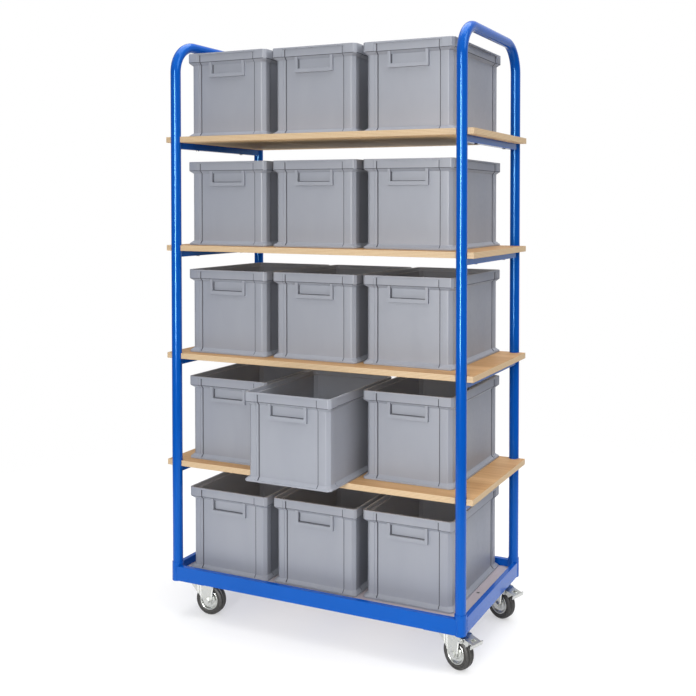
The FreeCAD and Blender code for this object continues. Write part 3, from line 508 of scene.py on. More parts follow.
def eased_copy(node: str, edge: float, segments: int) -> Thing:
    """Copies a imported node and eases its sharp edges, as a press, a saw or a paint film leaves them.

    Args:
        node: Name of the node.
        edge: Width of the eased edge, in metres.
        segments: Steps across the eased edge.

    Returns:
        The eased object.
    """
    thing = as_object(f"{node}_dressed", merged(node))
    easing = thing.modifiers.new("easing", "BEVEL")
    easing.width = edge
    easing.segments = segments
    easing.limit_method = "ANGLE"
    easing.angle_limit = SHARP_ABOVE
    easing.use_clamp_overlap = True
    easing.harden_normals = True
    return take_modifiers(thing)


def islands(node: str) -> list[tuple[Vector, Vector]]:
    """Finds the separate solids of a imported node.

    Args:
        node: Name of the node.

    Returns:
        Lowest and highest corner of each solid, from left to right.
    """
    shape = packed(node)
    waiting = set(shape.verts)
    boxes = []
    while waiting:
        reach = [waiting.pop()]
        low, high = reach[0].co.copy(), reach[0].co.copy()
        while reach:
            vert = reach.pop()
            low = Vector(map(min, low, vert.co))
            high = Vector(map(max, high, vert.co))
            near = {bond.other_vert(vert) for bond in vert.link_edges} & waiting
            waiting -= near
            reach.extend(near)
        boxes.append((low, high))
    shape.free()
    return sorted(boxes, key=lambda box: tuple(round(value, 4) for value in box[0]))


def rounded(points: Profile, radius: float, steps: int) -> Profile:
    """Rounds the corners of a closed profile.

    Args:
        points: Corners of the profile, in order.
        radius: How far along each side a corner's rounding starts.
        steps: Points on each rounding.

    Returns:
        Points of the rounded profile.
    """
    most = 0.45  # share of a side that one rounding takes at most
    made: Profile = []
    for i, corner in enumerate(points):
        here = Vector(corner)
        before = Vector(points[i - 1]) - here
        after = Vector(points[(i + 1) % len(points)]) - here
        start = here + before.normalized() * min(radius, before.length * most)
        end = here + after.normalized() * min(radius, after.length * most)
        for step in range(steps + 1):
            t = step / steps
            at = start * (1 - t) ** 2 + here * 2 * t * (1 - t) + end * t**2
            made.append((at.x, at.y))
    return made


def mirrored(half: Profile) -> Profile:
    """Closes half of a section with its mirror on the other side of its middle."""
    return half + [(radius, -height) for radius, height in reversed(half)]


def ring(shape: Shape, radius: float, height: float, count: int, start: float = 0.0) -> Ring:
    """Sets a ring of corners round the Z axis.

    Args:
        shape: Shape that gets the corners.
        radius: How far they lie from the axis.
        height: How high they lie.
        count: How many there are.
        start: Angle of the first one, in radians.

    Returns:
        The corners, in order.
    """
    turns = (start + 2 * math.pi * i / count for i in range(count))
    return [shape.verts.new((radius * math.cos(t), radius * math.sin(t), height)) for t in turns]


def bridge(shape: Shape, lower: Ring, upper: Ring) -> None:
    """Closes the band between two rings of corners."""
    for corners in zip(lower, lower[1:] + lower[:1], upper[1:] + upper[:1], upper):
        shape.faces.new(corners)


def stack(shape: Shape, rings: Sequence[Ring]) -> None:
    """Closes a solid over a stack of rings of corners."""
    for lower, upper in zip(rings, rings[1:]):
        bridge(shape, lower, upper)
    for end in (rings[0], rings[-1]):
        shape.faces.new(end)


def turned(name: str, section: Profile, place: Matrix, segments: int) -> Thing:
    """Turns a closed section about its axis.

    Args:
        name: Name of the object.
        section: Distance from the axis and place along it, point by point.
        place: Where the axis, its own Z, stands.
        segments: Steps round the axis.

    Returns:
        The turned object.
    """
    shape = bmesh.new()
    rings = []
    for step in range(segments):
        turn = 2 * math.pi * step / segments
        c, s = math.cos(turn), math.sin(turn)
        rings.append([shape.verts.new(place @ Vector((r * c, r * s, h))) for r, h in section])
    for here, after in zip(rings, rings[1:] + rings[:1]):
        bridge(shape, here, after)
    bmesh.ops.remove_doubles(shape, verts=shape.verts, dist=FINE_JOIN)
    bmesh.ops.recalc_face_normals(shape, faces=shape.faces)
    return as_object(name, shape)


@dataclass
class GeometryRule:
    """A geometry node tree with named inputs that makes what repeats or follows a path."""

    name: str
    inputs: tuple[tuple[str, str], ...]

    def tree(self) -> Tree:
        """Builds the tree, or gives the one that is already built."""
        if self.name in bpy.data.node_groups:
            return bpy.data.node_groups[self.name]
        tree = bpy.data.node_groups.new(self.name, "GeometryNodeTree")
        tree.interface.new_socket("Geometry", in_out="INPUT", socket_type="NodeSocketGeometry")
        for name, kind in (*self.inputs, ("Finish", "NodeSocketMaterial")):
            tree.interface.new_socket(name, in_out="INPUT", socket_type=kind)
        tree.interface.new_socket("Geometry", in_out="OUTPUT", socket_type="NodeSocketGeometry")
        given = add_node(tree, "NodeGroupInput")
        real = add_node(tree, "GeometryNodeRealizeInstances", links={"Geometry": self.shape(tree, given)})
        dressed = add_node(
            tree,
            "GeometryNodeSetMaterial",
            links={"Geometry": real.outputs["Geometry"], "Material": given.outputs["Finish"]},
        )
        add_node(tree, "NodeGroupOutput", links={"Geometry": dressed.outputs["Geometry"]})
        return tree

    def shape(self, tree: Tree, given: Node) -> Socket:
        """Builds the tree's own nodes.

        Args:
            tree: Tree that gets the nodes.
            given: The tree's inputs.

        Returns:
            Output that carries the geometry.
        """
        raise NotImplementedError

    def run(self, thing: Thing, finish: Finish, **values: object) -> None:
        """Runs the tree on an object and keeps the result as its plain mesh.

        Args:
            thing: Object with the path or the points.
            finish: Finish of the result.
            **values: Inputs of the tree, with spaces in their names as underscores.
        """
        modifier = thing.modifiers.new(self.name, "NODES")
        modifier.node_group = self.tree()
        wanted = {name.replace("_", " "): value for name, value in values.items()}
        wanted["Finish"] = finish.material()
        for item in modifier.node_group.interface.items_tree:
            if item.in_out == "INPUT" and item.name in wanted:
                modifier[item.identifier] = wanted[item.name]
        take_modifiers(thing)
        smooth(thing.data)


@dataclass
class BentTube(GeometryRule):
    """A tube that follows a path of straight runs, bent at its corners."""

    name: str = "bent_tube"
    inputs: tuple[tuple[str, str], ...] = (("Bend Radius", FLOAT), ("Tube Radius", FLOAT))
    around: int = 48
    bend_steps: int = 28

    def shape(self, tree: Tree, given: Node) -> Socket:
        """Rounds the path's corners and sweeps a circle along it."""
        path = add_node(tree, "GeometryNodeMeshToCurve", links={"Mesh": given.outputs["Geometry"]})
        bends = add_node(
            tree,
            "GeometryNodeFilletCurve",
            {"Count": self.bend_steps},
            {"Curve": path.outputs["Curve"], "Radius": given.outputs["Bend Radius"]},
            mode="POLY",
        )
        circle = add_node(
            tree,
            "GeometryNodeCurvePrimitiveCircle",
            {"Resolution": self.around},
            {"Radius": given.outputs["Tube Radius"]},
        )
        tube = add_node(
            tree,
            "GeometryNodeCurveToMesh",
            {"Fill Caps": True},
            {"Curve": bends.outputs["Curve"], "Profile Curve": circle.outputs["Curve"]},
        )
        return tube.outputs["Mesh"]


@dataclass
class Hardware(GeometryRule):
    """One part set on every point, along the point's facing and turned by chance."""

    name: str = "hardware"
    inputs: tuple[tuple[str, str], ...] = (("Part", "NodeSocketObject"), ("Most Turn", FLOAT), ("Seed", WHOLE))

    def shape(self, tree: Tree, given: Node) -> Socket:
        """Sets the part on the points."""
        points = add_node(tree, "GeometryNodeMeshToPoints", links={"Mesh": given.outputs["Geometry"]})
        part = add_node(tree, "GeometryNodeObjectInfo", {"As Instance": True}, {"Object": given.outputs["Part"]})
        facing = add_node(tree, "GeometryNodeInputNamedAttribute", {"Name": "facing"}, data_type="FLOAT_VECTOR")
        way = {"Vector": facing.outputs["Attribute"]}
        stand = add_node(tree, "FunctionNodeAlignRotationToVector", links=way, axis="Z")
        chance = add_node(
            tree,
            "FunctionNodeRandomValue",
            links={MOST: given.outputs["Most Turn"], "Seed": given.outputs["Seed"]},
            data_type="FLOAT",
        )
        upright = {"Axis": (0.0, 0.0, 1.0)}
        twist = add_node(tree, "FunctionNodeAxisAngleToRotation", upright, {"Angle": chance.outputs[CHOSEN]})
        turn = add_node(
            tree,
            "FunctionNodeRotateRotation",
            links={"Rotation": stand.outputs["Rotation"], "Rotate By": twist.outputs["Rotation"]},
            rotation_space="LOCAL",
        )
        placed = add_node(
            tree,
            "GeometryNodeInstanceOnPoints",
            links={
                "Points": points.outputs["Points"],
                "Instance": part.outputs["Geometry"],
                "Rotation": turn.outputs["Rotation"],
            },
        )
        return placed.outputs["Instances"]


@dataclass
class WeldBead(GeometryRule):
    """A weld bead laid as overlapping scales along a seam."""

    name: str = "weld_bead"
    inputs: tuple[tuple[str, str], ...] = (("Scale Radius", FLOAT), ("Scale Spacing", FLOAT), ("Seed", WHOLE))
    smallest: float = 0.85
    largest: float = 1.15

    def shape(self, tree: Tree, given: Node) -> Socket:
        """Sets round scales along the seam, each of a slightly different size."""
        seam = add_node(tree, "GeometryNodeMeshToCurve", links={"Mesh": given.outputs["Geometry"]})
        spots = add_node(
            tree,
            "GeometryNodeResampleCurve",
            links={"Curve": seam.outputs["Curve"], "Length": given.outputs["Scale Spacing"]},
            mode="LENGTH",
        )
        wide = {"Radius": given.outputs["Scale Radius"]}
        scale = add_node(tree, "GeometryNodeMeshIcoSphere", {"Subdivisions": 2}, wide)
        size = add_node(
            tree,
            "FunctionNodeRandomValue",
            {LEAST: self.smallest, MOST: self.largest},
            {"Seed": given.outputs["Seed"]},
            data_type="FLOAT",
        )
        placed = add_node(
            tree,
            "GeometryNodeInstanceOnPoints",
            links={
                "Points": spots.outputs["Curve"],
                "Instance": scale.outputs["Mesh"],
                "Scale": size.outputs[CHOSEN],
            },
        )
        return placed.outputs["Instances"]


BENT_TUBE = BentTube()
HARDWARE = Hardware()
WELD_BEAD = WeldBead()
MOULD_LINE = BentTube("mould_line", around=10, bend_steps=3)


def path_object(name: str, paths: Sequence[Sequence[Point]]) -> Thing:
    """Makes a mesh of open paths for a geometry rule to follow.

    Args:
        name: Name of the object.
        paths: Points of each path.

    Returns:
        The object, in the scene.
    """
    mesh = bpy.data.meshes.new(name)
    points: list[Point] = []
    runs: list[tuple[int, int]] = []
    for path in paths:
        start = len(points)
        points.extend(path)
        runs.extend((start + i, start + i + 1) for i in range(len(path) - 1))
    mesh.from_pydata(points, runs, [])
    return link(bpy.data.objects.new(name, mesh))


def hand_over(
    thing: Thing, body: str, slot: Slot, finish: Finish | None = None, nodes: Sequence[str] = ()
) -> None:
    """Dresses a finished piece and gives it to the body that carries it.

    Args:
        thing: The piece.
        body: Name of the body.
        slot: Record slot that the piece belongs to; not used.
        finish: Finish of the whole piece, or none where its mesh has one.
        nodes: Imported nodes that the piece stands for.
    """
    if finish is not None:
        thing.data.materials.clear()
        thing.data.materials.append(finish.material())
    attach(thing, body)
    if nodes:
        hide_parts(*nodes)
    log.info("%s: %d faces on %s", thing.name, len(thing.data.polygons), body)


def dress_node(node: str, body: str, slot: Slot, finish: Finish, edge: float, segments: int = 2) -> None:
    """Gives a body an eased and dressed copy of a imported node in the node's stead."""
    hand_over(eased_copy(node, edge, segments), body, slot, finish, [node])


def weld(name: str, seams: Sequence[Sequence[Point]], bead: float, seed: int) -> None:
    """Lays painted weld beads along seams of the frame.

    Args:
        name: Name of the piece.
        seams: Points of each seam.
        bead: Radius of a bead.
        seed: Seed of the sizes of its scales.
    """
    thing = path_object(name, seams)
    WELD_BEAD.run(thing, BLUE_COAT, Scale_Radius=bead, Scale_Spacing=bead * BEAD_SPACING, Seed=seed)
    hand_over(thing, "frame", Slot.BLUE_STEEL)


def fasten(
    node: str, pattern: Thing, spots: Sequence[Point], facing: float, finish: Finish, most_turn: float, seed: int
) -> None:
    """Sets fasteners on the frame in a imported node's stead, and drops their pattern.

    Args:
        node: Name of the node.
        pattern: One fastener, along its own Z.
        spots: Where each fastener stands.
        facing: Whether its Z is up, at one, or down, at minus one.
        finish: Finish of the fasteners.
        most_turn: Widest turn by chance about Z, in radians.
        seed: Seed of the turns.
    """
    mesh = bpy.data.meshes.new(f"{node}_set")
    mesh.from_pydata(spots, [], [])
    way = mesh.attributes.new("facing", "FLOAT_VECTOR", "POINT")
    for item in way.data:
        item.vector = (0.0, 0.0, facing)
    thing = link(bpy.data.objects.new(f"{node}_set", mesh))
    HARDWARE.run(thing, finish, Part=pattern, Most_Turn=most_turn, Seed=seed)
    hand_over(thing, "frame", Slot.SCREW_STEEL, nodes=[node])
    drop(pattern)


@dataclass
class Crates:
    """Fifteen stacking crates, moulded alike, three to a level.

    Lines that the mould draws are cut by rods whose dark grey is painted shade in the grooves: groove and rim_line
    are their radii, and groove_off and line_bend are shares of such a radius.
    """

    levels: int = 5
    places: tuple[str, ...] = ("left", "middle", "right")
    edge: float = 1.6 * MM
    step_edge: float = 0.35 * MM
    form_angle: float = math.radians(20)
    corner_zone: float = 21 * MM
    end_zone: float = 0.5 * MM
    column: float = 38 * MM
    border: float = 8 * MM
    step: float = 2 * MM
    inset: float = 9 * MM
    corner: float = 8 * MM
    foot: float = 5 * MM
    rim: float = 29 * MM
    bead: float = 5 * MM
    grip_half: float = 57.5 * MM
    grip_drop: float = 38 * MM
    groove: float = 1.7 * MM
    groove_off: float = 0.9
    rim_line: float = 1.2 * MM
    line_bend: float = 1.5
    lap: float = 0.4 * MM

    def lines(self, low: Vector, high: Vector) -> dict[float, list[list[Point]]]:
        """Follows the lines that the mould draws beside the columns, inside the grips and under the rim.

        Args:
            low: Lowest corner of the crate.
            high: Highest corner of the crate.

        Returns:
            Paths on the four walls, by the radius of the line that follows them.
        """
        middle, half = (low + high) / 2, (high - low) / 2
        tall = high.z - low.z
        under_rim = tall - self.rim
        sunk = 2 * self.step
        columns: list[list[Point]] = []
        rims: list[list[Point]] = []
        for quarter in range(4):
            reach, deep = (half.x, half.y) if quarter % 2 == 0 else (half.y, half.x)
            stand = Matrix.Translation((middle.x, middle.y, low.z)) @ Matrix.Rotation(quarter * math.pi / 2, 4, "Z")
            line = reach - self.column - self.border - self.groove_off * self.groove
            drop_line = (
                (sunk, tall - self.bead - self.groove),
                (sunk, under_rim),
                (sunk + self.inset, under_rim - self.inset),
                (sunk + self.inset, self.foot + self.inset),
                (sunk, self.foot),
            )
            drawn = [[(side * line, away - deep, up) for away, up in drop_line] for side in (-1, 1)]
            if quarter % 2 == 0:
                wall = sunk + self.inset - deep
                top, bottom = under_rim - self.inset, under_rim - self.grip_drop
                inner = self.grip_half - self.groove / 2
                grip = ((-inner, top), (-inner, bottom), (inner, bottom), (inner, top))
                drawn.append([(x, wall, up) for x, up in grip])
            columns.extend([tuple(stand @ Vector(at)) for at in path] for path in drawn)
            ends = reach - self.column, reach - self.column - self.border
            spans = [(-ends[1], ends[1], sunk)]
            for side in (-1, 1):
                spans.append((side * ends[1], side * ends[0], self.step))
                spans.append((side * ends[0], side * (reach - self.corner), 0.0))
            for start, end, away in spans:
                lap = math.copysign(self.lap, end - start)
                rims.append([tuple(stand @ Vector((x, away - deep, under_rim))) for x in (start - lap, end + lap)])
        return {self.groove: columns, self.rim_line: rims}

    def weigh(self, shape: Shape, low: Vector, high: Vector) -> None:
        """Marks the edges of a crate that are rounded: widely at rim, foot and corners, narrowly inside.

        Args:
            shape: Shape of the crate.
            low: Lowest corner of the crate.
            high: Highest corner of the crate.
        """
        weight = shape.edges.layers.float.new("bevel_weight_edge")
        for bond in shape.edges:
            if len(bond.link_faces) != 2 or bond.calc_face_angle(0.0) < self.form_angle:
                continue
            middle = (bond.verts[0].co + bond.verts[1].co) / 2
            from_side, from_front, from_end = (min(m - lo, hi - m) for lo, m, hi in zip(low, middle, high))
            at_corner = from_side < self.corner_zone and from_front < self.corner_zone
            bond[weight] = 1.0 if at_corner or from_end < self.end_zone else self.step_edge / self.edge

    def cut_lines(self, crate: Thing, low: Vector, high: Vector) -> list[Thing]:
        """Has rods cut the mould's lines into a crate, whose cut faces take the rods' dark grey as painted shade in
        the grooves.

        Args:
            crate: The crate, which gets a modifier for each kind of line.
            low: Lowest corner of the crate.
            high: Highest corner of the crate.

        Returns:
            The rods, to be dropped once the modifiers are baked.
        """
        rods = []
        for radius, paths in self.lines(low, high).items():
            rod = path_object("crate_lines", paths)
            MOULD_LINE.run(rod, CRATE_LINE_SHADE, Bend_Radius=self.line_bend * radius, Tube_Radius=radius)
            cut = crate.modifiers.new("lines", "BOOLEAN")
            cut.operation = "DIFFERENCE"
            cut.solver = "EXACT"
            cut.use_self = True
            # The cut faces take the rods' dark grey: painted shade in the grooves
            cut.material_mode = "TRANSFER"
            cut.object = rod
            rods.append(rod)
        return rods

    def build(self) -> Thing:
        """Moulds one crate: the first one's solid with its edges rounded and the mould's lines cut in."""
        first = f"crate_1_{self.places[0]}"
        low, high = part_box(first)
        shape = merged(first)
        bmesh.ops.connect_verts_concave(shape, faces=shape.faces)
        self.weigh(shape, low, high)
        crate = as_object("crate_pattern", shape)
        crate.data.materials.append(GREY_CRATE.material())
        easing = crate.modifiers.new("easing", "BEVEL")
        easing.width = self.edge
        easing.segments = 2
        easing.limit_method = "WEIGHT"
        easing.use_clamp_overlap = False
        rods = self.cut_lines(crate, low, high)
        take_modifiers(crate)
        for rod in rods:
            drop(rod)
        shape = bmesh.new()
        shape.from_mesh(crate.data)
        bmesh.ops.remove_doubles(shape, verts=shape.verts, dist=JOIN)
        bmesh.ops.dissolve_degenerate(shape, dist=JOIN, edges=shape.edges)
        bmesh.ops.triangulate(shape, faces=shape.faces)
        shape.to_mesh(crate.data)
        shape.free()
        smooth(crate.data)
        evening = crate.modifiers.new("evening", "WEIGHTED_NORMAL")
        evening.keep_sharp = True
        return take_modifiers(crate)

    def dress(self) -> None:
        """Sets a copy of the moulded crate in every crate's place."""
        pattern = self.build()
        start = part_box(f"crate_1_{self.places[0]}")[0]
        for level in range(1, self.levels + 1):
            for place in self.places:
                node = f"crate_{level}_{place}"
                mesh = pattern.data.copy()
                mesh.name = f"{node}_moulding"
                mesh.transform(Matrix.Translation(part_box(node)[0] - start))
                thing = link(bpy.data.objects.new(f"{node}_moulding", mesh))
                hand_over(thing, f"{node}_box", Slot.CRATE_PLASTIC, nodes=[node])
        drop(pattern)


@dataclass
class Shelves:
    """Four plywood shelves with eased edges, and the screws that hold them down to their bars."""

    edge: float = 0.8 * MM
    count: int = 4

    def dress(self) -> None:
        """Sets every shelf and its screws."""
        for level in range(1, self.count + 1):
            node = f"shelf_{level}"
            birch = replace(BIRCH, name=f"birch_plywood_{level}", underside=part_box(node)[0].z)
            dress_node(node, "frame", Slot.PLYWOOD, birch, self.edge)
        Screws("shelf_screws", facing=-1.0).dress()


@dataclass
class Screws:
    """Flat-headed wood screws with a cross recess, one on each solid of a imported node.

    Head, shank and recess are shares of the head's radius, head_side is one of the head's height, neck and tip
    are shares of the shank's radius, and recess_floor is one of the recess.
    """

    node: str
    facing: float = 1.0
    head: float = 0.75
    head_side: float = 0.45
    shank: float = 0.5
    neck: float = 1.15
    tip: float = 0.9
    recess: float = 0.45
    recess_arm: float = 0.14
    recess_floor: float = 0.8
    recess_depth: float = 1.3 * MM
    around: int = 24
    seed: int = 11

    def pattern(self, radius: float, length: float) -> Thing:
        """Builds one screw that stands along its own Z with the top of its head at the origin.

        Args:
            radius: Radius of the head.
            length: Whole length.

        Returns:
            The screw.
        """
        shape = bmesh.new()
        rim = ring(shape, radius, 0.0, self.around)
        long, arm = radius * self.recess, radius * self.recess_arm
        quarter = [(long, -arm), (long, arm), (arm, arm)]
        cross = []
        for turn in range(4):
            c, s = math.cos(turn * math.pi / 2), math.sin(turn * math.pi / 2)
            cross.extend(shape.verts.new((x * c - y * s, x * s + y * c, 0.0)) for x, y in quarter)
        narrow = self.recess_floor
        floor = [shape.verts.new((v.co.x * narrow, v.co.y * narrow, -self.recess_depth)) for v in cross]
        loops = []
        for line in (rim, cross):
            loops.extend(shape.edges.new(ends) for ends in zip(line, line[1:] + line[:1]))
        bmesh.ops.triangle_fill(shape, use_beauty=True, edges=loops)
        bridge(shape, cross, floor)
        shape.faces.new(floor)
        high, shank = radius * self.head, radius * self.shank
        steps = ((radius, high * self.head_side), (shank * self.neck, high), (shank, high), (shank * self.tip, length))
        above = rim
        for size, depth in steps:
            painted_light_mask = ring(shape, size, -depth, self.around)
            bridge(shape, above, painted_light_mask)
            above = painted_light_mask
        shape.faces.new(above)
        bmesh.ops.remove_doubles(shape, verts=shape.verts, dist=FINE_JOIN)
        bmesh.ops.recalc_face_normals(shape, faces=shape.faces)
        return as_object(f"{self.node}_pattern", shape)

    def dress(self) -> None:
        """Sets a screw on every solid of the node."""
        boxes = islands(self.node)
        low, high = boxes[0]
        pattern = self.pattern((high.x - low.x) / 2, high.z - low.z)
        tops = [((lo.x + hi.x) / 2, (lo.y + hi.y) / 2, hi.z if self.facing > 0 else lo.z) for lo, hi in boxes]
        # The screws take a darker zinc than the other zinc parts: painted shade
        fasten(self.node, pattern, tops, self.facing, SHADED_SCREW_ZINC, math.pi, self.seed)


@dataclass
class Hoops:
    """Two bent tube hoops and the cross bars welded between their posts."""

    bend_radius: float = 90 * MM
    bar_edge: float = 1.2 * MM
    bead: float = 1.7 * MM
    bead_end: float = 2 * MM
    sides: tuple[str, ...] = ("left", "right")
    seed: int = 5

    def dress(self) -> None:
        """Sets the hoops, the bars and the welds at the ends of the bars."""
        for side in self.sides:
            node = f"{side}_hoop"
            low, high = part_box(node)
            radius = (high.x - low.x) / 2
            middle, near, far, top = low.x + radius, low.y + radius, high.y - radius, high.z - radius
            corners = [(middle, near, low.z), (middle, near, top), (middle, far, top), (middle, far, low.z)]
            tube = path_object(f"{node}_tube", [corners])
            BENT_TUBE.run(tube, BLUE_COAT, Bend_Radius=self.bend_radius, Tube_Radius=radius)
            hand_over(tube, "frame", Slot.BLUE_STEEL, nodes=[node])
            bars = f"{side}_shelf_bars"
            dress_node(bars, "frame", Slot.BLUE_STEEL, BLUE_COAT, self.bar_edge)
            seams = []
            for lo, hi in islands(bars):
                for x in (lo.x, hi.x):
                    across = math.sqrt(max(radius**2 - (x - middle) ** 2, 0.0))
                    for y in (near + across, far - across):
                        seams.append([(x, y, lo.z + self.bead_end), (x, y, hi.z - self.bead_end)])
            weld(f"{bars}_welds", seams, self.bead, self.seed)


@dataclass
class Base:
    """Welded base frame with its corner sockets, plates and bearers, and the deck board inside it."""

    rail_edge: float = 1.6 * MM
    rail_steps: int = 3
    socket_edge: float = 0.7 * MM
    plate_edge: float = 0.6 * MM
    deck_edge: float = 0.8 * MM
    bead: float = 1.5 * MM
    bead_end: float = 2 * MM
    rails: tuple[str, ...] = ("front_rail", "rear_rail", "left_rail", "right_rail")
    plates: tuple[str, ...] = ("corner_plates", "deck_bearers", "deck_ledges")
    seed: int = 7

    def seams(self) -> list[list[Point]]:
        """Works out the seams where the rails meet the corner sockets.

        Returns:
            Points of each seam, upright at both faces of a rail.
        """
        made: list[list[Point]] = []
        front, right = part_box("front_rail"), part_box("right_rail")
        faces_y = (abs(front[0].y), abs(front[1].y))
        faces_x = (right[0].x, right[1].x)
        ends = (front[0].z + self.bead_end, front[1].z - self.bead_end)
        for lo, hi in islands("post_sockets"):
            centre, radius = (lo + hi) / 2, (hi.x - lo.x) / 2
            sx, sy = math.copysign(1.0, centre.x), math.copysign(1.0, centre.y)
            for face in faces_y:
                x = centre.x - sx * math.sqrt(radius**2 - (face - abs(centre.y)) ** 2)
                made.append([(x, sy * face, z) for z in ends])
            for face in faces_x:
                y = centre.y - sy * math.sqrt(radius**2 - (face - abs(centre.x)) ** 2)
                made.append([(sx * face, y, z) for z in ends])
        return made

    def dress(self) -> None:
        """Sets the frame, its welds, the deck and the deck's screws."""
        for node in self.rails:
            dress_node(node, "frame", Slot.BLUE_STEEL, BLUE_COAT, self.rail_edge, self.rail_steps)
        dress_node("post_sockets", "frame", Slot.BLUE_STEEL, BLUE_COAT, self.socket_edge)
        for node in self.plates:
            dress_node(node, "frame", Slot.BLUE_STEEL, BLUE_COAT, self.plate_edge)
        weld("base_welds", self.seams(), self.bead, self.seed)
        dress_node("base_deck", "frame", Slot.DECK_BOARD, DECK_FILM, self.deck_edge)
        Screws("deck_screws").dress()


